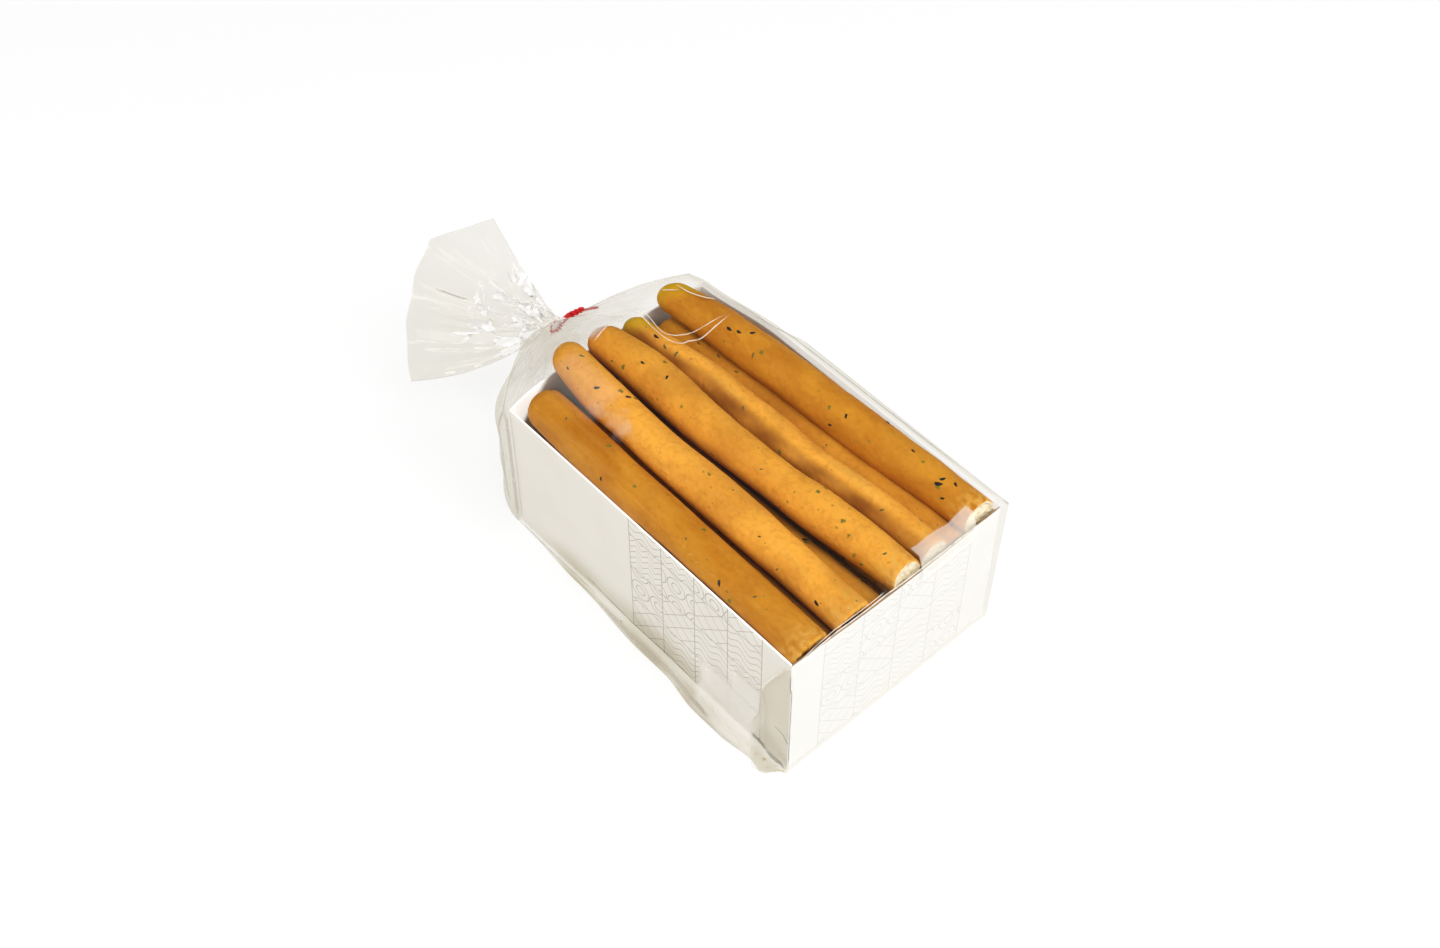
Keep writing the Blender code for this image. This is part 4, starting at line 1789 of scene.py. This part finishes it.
@dataclass
class Toppings:
    """Black seeds and herb flakes that are baked into the rusks.

    Attributes:
        seen_seeds: The seeds that catch the eye: the rusk's number, the place along it in
            millimetres, the angle round it in degrees and the length in millimetres.
        seen_flakes: The flakes that catch the eye, in the same way.
        extra_seeds: How many more seeds each of the upper rusks gets, beside extra_flakes.
        growth: How much larger than measured the seeds are made.
        sink: The share of its thickness that a seed is sunk in.
    """

    seen_seeds: tuple[tuple[int, float, float, float], ...] = (
        (27, -50.0, 115, 2.3), (27, -45.5, 106, 2.1), (27, -41.0, 84, 2.2), (27, 18.5, 117, 1.9),
        (27, 14.5, 160, 1.7), (27, 50.5, 83, 1.8), (27, 69.0, 116, 2.9), (27, 68.8, 98, 2.2),
        (27, 74.4, 88, 2.0), (27, 74.3, 140, 1.7), (26, -71.0, 99, 2.3), (25, -59.7, 109, 1.8),
        (25, -46.4, 96, 1.8), (24, -61.8, 112, 2.3), (24, -49.7, 64, 2.3), (24, -80.0, 135, 1.5),
        (24, 76.0, 154, 2.4), (19, 44.0, 61, 2.4), (23, -28.7, 154, 1.7), (23, 43.7, 148, 2.3),
    )
    seen_flakes: tuple[tuple[int, float, float, float], ...] = (
        (26, -64.3, 112, 2.8), (26, -58.0, 111, 3.0), (26, -15.7, 117, 2.2), (26, 62.0, 114, 2.0),
        (21, -62.7, 95, 2.4), (21, -51.0, 90, 2.4), (21, -38.9, 95, 2.2), (27, -33.3, 134, 2.6),
        (25, -72.9, 157, 1.8), (25, 80.0, 107, 2.0), (25, 73.5, 175, 2.2), (24, -80.0, 78, 2.6),
        (24, 40.0, 120, 1.6), (23, -60.0, 100, 1.8), (23, 20.0, 120, 1.6), (23, 60.0, 110, 1.8),
    )
    extra_seeds: int = 1
    extra_flakes: int = 5
    growth: float = 1.3
    sink: float = 0.10

    def speck(self, mesh: BMesh, point: Vector, out: Vector, turn: float,
              size: Sequence[float], taper: float) -> None:
        """Adds one seed or flake.

        Args:
            mesh: The mesh that it goes into.
            point: Its place on the skin.
            out: The outward direction there.
            turn: How far it is turned on the skin, in radians.
            size: Its half length, half width and half thickness in metres.
            taper: How much narrower its front end is.
        """
        made = bmesh.ops.create_icosphere(mesh, subdivisions=2, radius=1.0)["verts"]
        along = Vector((1.0, 0.0, 0.0)) - out * out.x
        along.normalize()
        frame_turn = Matrix((along, out.cross(along), out)).transposed().to_4x4()
        spin = Matrix.Rotation(turn, 4, "Z")
        for vertex in made:
            narrow = 1 - taper * (vertex.co.x * 0.5 + 0.5)
            bend = 0.25 * vertex.co.x * vertex.co.x
            vertex.co = Vector((vertex.co.x * size[0], (vertex.co.y * narrow + bend) * size[1],
                                vertex.co.z * size[2] * narrow))
        place = Matrix.Translation(point - out * size[2] * self.sink) @ frame_turn @ spin
        bmesh.ops.transform(mesh, matrix=place, verts=made)

    def build(self, rusks: Sequence[Rusk], coat: Material, leaf: Material) -> None:
        """Builds all seeds as one piece and all flakes as another.

        Args:
            rusks: Every rusk of the pack, in order of number.
            coat: The finish of the seeds.
            leaf: The finish of the flakes.
        """
        draws = random.Random(21)
        seeds, flakes = bmesh.new(), bmesh.new()
        rows = list(self.seen_seeds)
        leaves = list(self.seen_flakes)
        for number in range(18, 28):
            for _ in range(self.extra_seeds):
                rows.append((number, draws.uniform(-75, 75), draws.uniform(-20, 55),
                             draws.uniform(1.6, 2.3)))
            for _ in range(self.extra_flakes):
                leaves.append((number, draws.uniform(-80, 80), draws.uniform(-20, 200),
                               draws.uniform(0.7, 1.7)))
        for number, x, angle, length in rows:
            point, out = rusks[number - 1].spot(x, angle)
            half = length / 2000 * self.growth
            self.speck(seeds, point, out, draws.uniform(-1.2, 1.2),
                       (half, half * 0.58, half * 0.40), 0.45)
        for number, x, angle, length in leaves:
            point, out = rusks[number - 1].spot(x, angle)
            half = length / 2000
            self.speck(flakes, point, out, draws.uniform(-1.5, 1.5),
                       (half, half * draws.uniform(0.4, 0.6), 0.00014), 0.3)
        add_piece("black_seeds", seeds, Slot.CRUST, (coat,))
        add_piece("herb_flakes", flakes, Slot.CRUST, (leaf,))


class CreaseLook(Enum):
    """How a crease shows: as a painted highlight along a fold, a dark line of painted shadow, a
    band of painted shade or a painted white glint.
    """

    HIGHLIGHT = "film_crease_painted_highlight"
    DARK = "film_crease_painted_shadow"
    SHADE = "film_crease_painted_shade"
    GLINT = "film_glint"


@dataclass(frozen=True)
class CreaseFinish:
    """A strip of painted light or shade on the film, along a fold or as a glint, which fades out
    along its sides and towards its ends.
    """

    look: CreaseLook
    # the colours of painted light and shade: white glints, straw highlights, dark shadow lines and
    # smoky painted shade
    white: Colour = (0.95, 0.94, 0.92)
    straw: Colour = (0.93, 0.875, 0.745)
    dark: Colour = (0.22, 0.205, 0.165)
    smoky: Colour = (0.47, 0.410, 0.335)

    def material(self) -> Material:
        """Builds the crease's finish; UV runs across and along the crease.

        Returns:
            The material.
        """
        shader = Shader(self.look.value)
        across, along = shader.unwrapped()
        sides = (1.0 - abs(across - 0.5) * 2.0).step(0.0, 0.55)
        ends = along.step(0.0, 0.12) * along.step(1.0, 0.88)
        breaks = shader.noise(260.0, 1.0).step(0.25, 0.55) * 0.55 + 0.45
        if self.look is CreaseLook.GLINT:
            point = (along * (1.0 - along) * 4.0).root()
            ragged = shader.noise(420.0, 3.0).step(0.34, 0.74) * 0.44
            sides = (point - abs(across - 0.5) * 2.0 - ragged).step(0.0, 0.10)
            ends = breaks = 1.0
        colour, roughness, strength = {
            CreaseLook.HIGHLIGHT: (self.straw, 0.25, 0.75),
            CreaseLook.DARK: (self.dark, 0.5, 0.75),
            CreaseLook.SHADE: (self.smoky, 0.4, 0.65),
            CreaseLook.GLINT: (self.white, 0.2, 1.0),
        }[self.look]
        body = shader.principled({"Base Color": colour, "Roughness": roughness})
        clear = shader.node("ShaderNodeBsdfTransparent", None, {"Color": (1.0, 1.0, 1.0)})
        return shader.finish(shader.layer(sides * ends * breaks * strength, clear, body))


@dataclass
class FilmFolds:
    """The creases of the film and the folded flap at its near front corner.

    Attributes:
        highlight_creases: The folds with a painted highlight: each one's width and its points, in
            millimetres. The shadow_creases, painted shadow lines, and the shade_creases, bands of
            painted shade, are given in the same way.
        flap_fold: The fold of the flap, in millimetres, and flap_edge the corner it goes to.
        shards: The larger glints of the mouth: the width in millimetres and three places, as
            shares from the neck outwards and sideways.
        shard_growth: How much wider they are made.
        glint_count: How many small glints are added.
        rise: How far a crease stands off the film, and glint_rise a glint.
        steps: Faces between two points of a crease.
    """

    highlight_creases: tuple[tuple[float, Route], ...] = (
        (0.9, ((-83.0, -17.3, 97.0), (-86.5, -6.0, 97.5), (-89.5, 4.0, 94.0), (-91.0, 9.6, 92.0))),
        (0.75, ((-90.5, 10.2, 92.0), (-86.2, 11.2, 93.0), (-77.5, 10.7, 93.0), (-67.7, 9.6, 94.0),
                (-62.6, 11.0, 94.0), (-59.0, 16.2, 93.0), (-55.1, 21.1, 94.0), (-54.4, 29.3, 97.0),
                (-54.8, 39.1, 98.0))),
        (0.6, ((-87.4, 12.2, 92.0), (-82.9, 13.6, 92.5), (-70.8, 12.2, 93.0), (-65.5, 15.2, 92.0),
               (-61.0, 19.8, 93.0), (-58.5, 25.0, 95.5), (-55.8, 37.7, 98.0))),
        (0.6, ((-87.2, 25.7, 96.5), (-83.9, 28.2, 97.5), (-80.7, 31.3, 98.0))),
        (0.8, ((-85.2, 32.2, 98.0), (-77.1, 33.4, 98.0), (-70.3, 36.4, 98.0),
               (-65.6, 39.9, 97.5))),
        (0.8, ((88.4, -61.2, 76.2), (87.0, -61.2, 72.2), (78.2, -61.2, 54.7), (74.8, -61.2, 44.2),
               (73.4, -61.3, 29.1), (71.8, -63.0, 19.6))),
        (1.0, ((44.1, -65.5, 10.5), (53.9, -66.5, 8.5), (63.0, -68.0, 5.0), (70.3, -69.0, 3.0))),
        (1.0, ((91.0, -59.6, 79.2), (91.4, -40.0, 80.8), (91.8, -17.5, 81.0), (91.9, 5.0, 81.0),
               (91.8, 22.3, 80.8), (91.4, 42.0, 80.4), (91.0, 58.5, 79.4))),
        (0.6, ((91.0, -57.0, 79.8), (91.2, -44.0, 82.2), (91.5, -22.0, 82.8), (91.6, -8.0, 82.4))),
        (1.1, ((-170.8, -10.8, 68.4), (-158.4, -10.5, 67.6), (-145.9, -10.4, 66.4),
               (-136.2, -8.6, 67.0), (-129.0, -8.2, 69.0))),
    )
    shadow_creases: tuple[tuple[float, Route], ...] = (
        (2.4, ((72.5, -65.6, 13.6), (79.0, -65.9, 12.8), (85.0, -65.2, 11.0), (91.4, -60.9, 2.4))),
        (0.9, ((91.0, -61.3, 77.6), (91.4, -61.0, 58.0), (91.4, -61.0, 40.0), (91.4, -61.0, 25.0),
               (91.4, -60.9, 2.1))),
        (0.6, ((83.0, -61.8, 28.1), (88.1, -61.8, 27.0), (91.4, -61.0, 23.0))),
        (0.7, ((-42.0, -64.0, 10.5), (-20.0, -64.2, 10.8), (0.0, -64.2, 11.2), (20.0, -64.6, 12.0),
               (42.8, -65.4, 12.8))),
        (0.8, ((-70.0, 49.6, 90.0), (-50.0, 51.5, 89.0), (-20.0, 53.5, 87.0), (10.0, 54.8, 85.0),
               (40.0, 56.0, 83.5), (70.0, 57.5, 82.0))),
    )
    shade_creases: tuple[tuple[float, Route], ...] = (
        (2.6, ((-97.5, -59.5, 77.0), (-99.0, -59.0, 62.0), (-99.6, -58.8, 42.0),
               (-99.0, -59.0, 22.0), (-97.0, -59.6, 6.0))),
        (3.2, ((-91.0, -61.6, 77.6), (-91.0, -61.6, 60.0), (-91.0, -61.6, 40.0),
               (-91.0, -61.6, 20.0), (-91.0, -61.8, 2.0))),
        (1.2, ((-90.0, -61.8, 1.0), (-80.0, -62.2, 1.4), (-66.0, -63.0, 2.6), (-50.0, -64.0, 4.5),
               (-30.0, -65.0, 5.5))),
        (3.2, ((-30.0, -66.5, 2.5), (-10.0, -66.2, 3.5), (14.0, -66.6, 4.0), (36.0, -67.6, 4.0),
               (52.0, -68.6, 3.0))),
        (1.0, ((-193.7, -26.3, 52.3), (-182.4, -24.3, 54.8), (-172.1, -21.9, 57.0))),
    )
    flap_fold: Route = (
        (88.6, -61.6, 77.0), (78.6, -61.9, 54.7), (74.8, -62.0, 44.2), (73.6, -62.4, 29.1),
        (72.4, -64.6, 19.6), (77.0, -69.0, 6.0), (80.0, -71.0, 0.8))
    flap_edge: Route = (
        (91.0, -61.5, 77.4), (91.7, -61.3, 58.0), (91.8, -61.2, 40.0), (91.8, -61.2, 25.0),
        (91.8, -61.2, 14.0), (91.8, -61.3, 6.0), (91.6, -61.4, 0.8))
    shards: tuple[tuple[float, tuple[tuple[float, float], ...]], ...] = (
        (1.3, ((0.55, 0.68), (0.46, 0.68), (0.36, 0.64))),
        (4.6, ((0.38, 0.65), (0.24, 0.58), (0.11, 0.45))),
        (3.2, ((0.58, 0.86), (0.53, 0.84), (0.47, 0.81))),
        (4.8, ((0.56, 0.93), (0.46, 0.92), (0.34, 0.90))),
        (1.5, ((0.48, 0.96), (0.43, 0.96), (0.38, 0.95))),
        (4.2, ((0.56, 0.51), (0.52, 0.46), (0.48, 0.42))),
        (3.6, ((0.50, 0.58), (0.47, 0.60), (0.43, 0.60))),
        (3.0, ((0.47, 0.48), (0.42, 0.47), (0.37, 0.45))),
        (5.6, ((0.56, 0.34), (0.48, 0.34), (0.40, 0.29))),
        (3.8, ((0.37, 0.33), (0.30, 0.38), (0.20, 0.24))),
        (4.0, ((0.42, 0.21), (0.35, 0.17), (0.24, 0.16))),
        (2.8, ((0.38, 0.07), (0.31, 0.06), (0.25, 0.09))),
        (5.2, ((0.27, 0.21), (0.17, 0.20), (0.10, 0.22))),
        (4.6, ((0.32, 0.64), (0.24, 0.62), (0.14, 0.53))),
        (1.8, ((0.33, 0.94), (0.28, 0.94), (0.22, 0.92))),
        (2.6, ((0.34, 0.45), (0.28, 0.41), (0.19, 0.38))),
    )
    rise: float = 0.00025
    glint_rise: float = 0.0005
    steps: int = 6
    glint_count: int = 20
    shard_growth: float = 1.6

    def lay(self, look: CreaseLook, width: float, route: Route, skin: BVHTree) -> BMesh:
        """Lays one crease onto the film as a narrow raised strip.

        Args:
            look: How it shows.
            width: Its width, in millimetres.
            route: Its points, in millimetres.
            skin: The film's surface.

        Returns:
            Its mesh.
        """
        knots = numbered(route)
        last = len(knots) - 1
        rows = last * self.steps
        spots = []
        for row in range(rows + 1):
            aim = Vector(curve_at(knots, row / self.steps)) / 1000
            spot, out, _, _ = skin.find_nearest(aim)
            centre = Vector((aim.x, 0.0, 0.045))
            if out.dot(spot - centre) < 0:
                out = -out
            spots.append((spot, out))

        def place(across: float, share: float) -> Vector:
            """A point of the strip.

            Args:
                across: The share across the strip.
                share: The share along it.

            Returns:
                The point.
            """
            row = round(share * rows)
            spot, out = spots[row]
            ahead = spots[min(row + 1, rows)][0] - spots[max(row - 1, 0)][0]
            side = ahead.cross(out).normalized()
            off = (across - 0.5) * 2
            lift = self.glint_rise if look is CreaseLook.GLINT else self.rise
            return spot + side * (off * width / 2000) + out * (lift * (1.6 - abs(off)))

        return grid_mesh(4, rows, place, join=False)

    def glints(self, bag: FilmBag) -> list[tuple[float, Route]]:
        """White reflections on the crumpled film between the neck and the spread mouth.

        Args:
            bag: The bag's form.

        Returns:
            Each glint's width and its points, in millimetres.
        """
        draws = random.Random(8)
        body = bag.corners[2] / bag.corners[-1]
        glints = [(width * self.shard_growth, tuple(
            tuple(bag.mouth_point(share, sideways * body) * 1000) for share, sideways in places))
            for width, places in self.shards]
        for _ in range(self.glint_count):
            share = 0.12 + 0.44 * draws.random() ** 0.7
            sideways = draws.uniform(0.08, 0.94)
            reach = draws.uniform(0.03, 0.10) * (0.6 + share)
            drift = draws.uniform(-0.07, 0.07)
            bend = draws.uniform(-0.025, 0.025)
            width = draws.uniform(0.9, 2.2) * (0.5 + 1.6 * share)
            route = []
            for step, off in ((-1.0, 0.0), (0.0, bend), (1.0, 0.0)):
                turn = min(max(sideways + drift * step + off, 0.02), 0.98)
                route.append(tuple(bag.mouth_point(share + reach * step, turn * body) * 1000))
            glints.append((width, tuple(route)))
        return glints

    def flap(self) -> BMesh:
        """The folded flap of film at the near front corner.

        Returns:
            The mesh.
        """
        fold, edge = numbered(self.flap_fold), numbered(self.flap_edge)
        last = len(fold) - 1

        def place(across: float, share: float) -> Vector:
            """A point of the flap.

            Args:
                across: The share from the fold to the edge.
                share: The share down.

            Returns:
                The point.
            """
            left = Vector(curve_at(fold, share * last)) / 1000
            right = Vector(curve_at(edge, share * last)) / 1000
            point = blend(left, right, across)
            swell = 0.0008 * math.sin(math.pi * across) * (1 + rough(point, 0.014, 3.0))
            return point + Vector((0.0, -swell, 0.0))

        mesh = grid_mesh(14, 48, place)
        lay_plain(mesh)
        return mesh

    def build(self, bag: FilmBag, film: Object) -> None:
        """Builds the creases, the glints and the flap.

        Args:
            bag: The bag's form.
            film: The film that they lie on.
        """
        skin = BVHTree.FromPolygons([vertex.co for vertex in film.data.vertices],
                                    [polygon.vertices[:] for polygon in film.data.polygons])
        rows = {CreaseLook.HIGHLIGHT: self.highlight_creases, CreaseLook.DARK: self.shadow_creases,
                CreaseLook.SHADE: self.shade_creases, CreaseLook.GLINT: self.glints(bag)}
        for look, creases in rows.items():
            mesh = bmesh.new()
            for width, route in creases:
                take_in(mesh, self.lay(look, width, route, skin))
            add_piece(look.value, mesh, Slot.FILM, (CreaseFinish(look).material(),))
        add_piece("film_corner_flap", self.flap(), Slot.FILM, (
            Film(name="film_flap", extra_smoke=0.11, foot_shade=0.04, painted_sheens=()).material(),))


@dataclass
class Crumbs:
    """Loose crumbs in the foot of the bag, at the near front corner."""

    places: Route = (
        (80.4, -64.3, 1.5), (88.0, -64.0, 1.1), (90.0, -61.8, 0.9), (76.0, -65.0, 0.8),
        (84.0, -65.5, 0.7), (70.0, -64.0, 0.9), (60.0, -65.0, 0.6), (86.0, -62.5, 0.8),
        (48.0, -64.0, 0.7), (20.0, -63.5, 0.6), (-15.0, -63.2, 0.8), (66.0, -66.0, 0.6),
    )

    def build(self, crust: Material) -> Object:
        """Builds the crumbs as one piece.

        Args:
            crust: Their finish.

        Returns:
            The object.
        """
        mesh = bmesh.new()
        for number, (x, y, size) in enumerate(self.places):
            made = bmesh.ops.create_icosphere(mesh, subdivisions=2, radius=1.0)["verts"]
            for vertex in made:
                jag = 1 + 0.45 * rough(vertex.co, 0.9, number + 2.0)
                vertex.co = vertex.co * (size / 2000 * jag)
                vertex.co.z = vertex.co.z * 0.8 + size / 2600 + 0.0004
            bmesh.ops.translate(mesh, vec=(x / 1000, y / 1000, 0.0), verts=made)
        return add_piece("loose_crumbs", mesh, Slot.CRUST, (crust,))


@dataclass
class Studio:
    """The camera, the floor and the lights.

    Attributes:
        floor_glow: How much the floor shines by itself.
        softboxes: Each one's name, place, goal, size and power.
    """

    camera_place: tuple[float, float, float] = (0.3987, -0.375, 0.7353)
    camera_turn: tuple[float, float, float] = (0.6859, 0.0, 0.8394)
    lens: float = 50.0
    sensor: float = 36.0
    floor_size: float = 12.0
    floor_colour: Colour = (0.30, 0.30, 0.30)
    floor_glow: float = 0.72
    sky: Colour = (0.30, 0.30, 0.30)
    softboxes: tuple[tuple[str, Colour, Colour, float, float], ...] = (
        ("key", (0.60, -0.15, 1.50), (0.0, 0.0, 0.03), 1.2, 11.0),
        ("front", (1.30, 0.45, 0.90), (0.0, 0.0, 0.05), 1.1, 15.5),
        ("side", (-0.45, -1.20, 0.90), (0.0, 0.0, 0.05), 0.9, 9.0),
    )

    def build(self) -> None:
        """Sets everything up."""
        scene = bpy.context.scene
        scene.view_settings.view_transform = "Standard"
        self.add_camera(scene)
        self.add_floor()
        for softbox in self.softboxes:
            self.add_light(*softbox)
        world = bpy.data.worlds.new("studio")
        world.use_nodes = True
        world.node_tree.nodes["Background"].inputs["Color"].default_value = (*self.sky, 1.0)
        scene.world = world

    def add_camera(self, scene: Scene) -> None:
        """Adds the camera at the photograph's place.

        Args:
            scene: The scene that it is for.
        """
        data = bpy.data.cameras.new("camera")
        data.lens = self.lens
        data.sensor_width = self.sensor
        camera = bpy.data.objects.new("camera", data)
        camera.location = self.camera_place
        camera.rotation_euler = self.camera_turn
        scene.collection.objects.link(camera)
        scene.camera = camera

    def add_floor(self) -> None:
        """Adds the pale floor."""
        mesh = bmesh.new()
        bmesh.ops.create_grid(mesh, x_segments=1, y_segments=1, size=self.floor_size / 2)
        data = bpy.data.meshes.new("floor")
        mesh.to_mesh(data)
        mesh.free()
        shader = Shader("floor")
        data.materials.append(shader.finish(shader.principled({
            "Base Color": self.floor_colour,
            "Roughness": 0.9,
            "Specular IOR Level": 0.1,
            "Emission Color": (1.0, 1.0, 1.0),
            "Emission Strength": self.floor_glow,
        })))
        floor = bpy.data.objects.new("floor", data)
        bpy.context.scene.collection.objects.link(floor)

    def add_light(self, name: str, place: Sequence[float], goal: Sequence[float], size: float,
                  power: float) -> None:
        """Adds a square softbox.

        Args:
            name: The light's name.
            place: Where it stands.
            goal: The point that it faces.
            size: The length of its sides.
            power: Its power in watts.
        """
        data = bpy.data.lights.new(name, "AREA")
        data.shape = "SQUARE"
        data.size = size
        data.energy = power
        light = bpy.data.objects.new(name, data)
        light.location = place
        light.rotation_euler = (Vector(goal) - Vector(place)).to_track_quat("-Z", "Y").to_euler()
        bpy.context.scene.collection.objects.link(light)


def main() -> None:
    """Builds the pack's sub-assemblies in order."""
    logging.basicConfig(level=logging.INFO, format="%(message)s")
    Studio().build()
    crust, crumb = Crust().material(), Crumb().material()
    Tray().build()
    stack = RuskStack()
    stack.build(crust, crumb)
    Toppings().build(stack.rusks, SeedCoat().material(), Leaf().material())
    Crumbs().build(crumb)
    bag = FilmBag(rusks=stack.top_layer())
    FilmFolds().build(bag, bag.build(Film().material()))
    TwistTie().build(TieCoat().material())


if __name__ == "__main__":
    main()
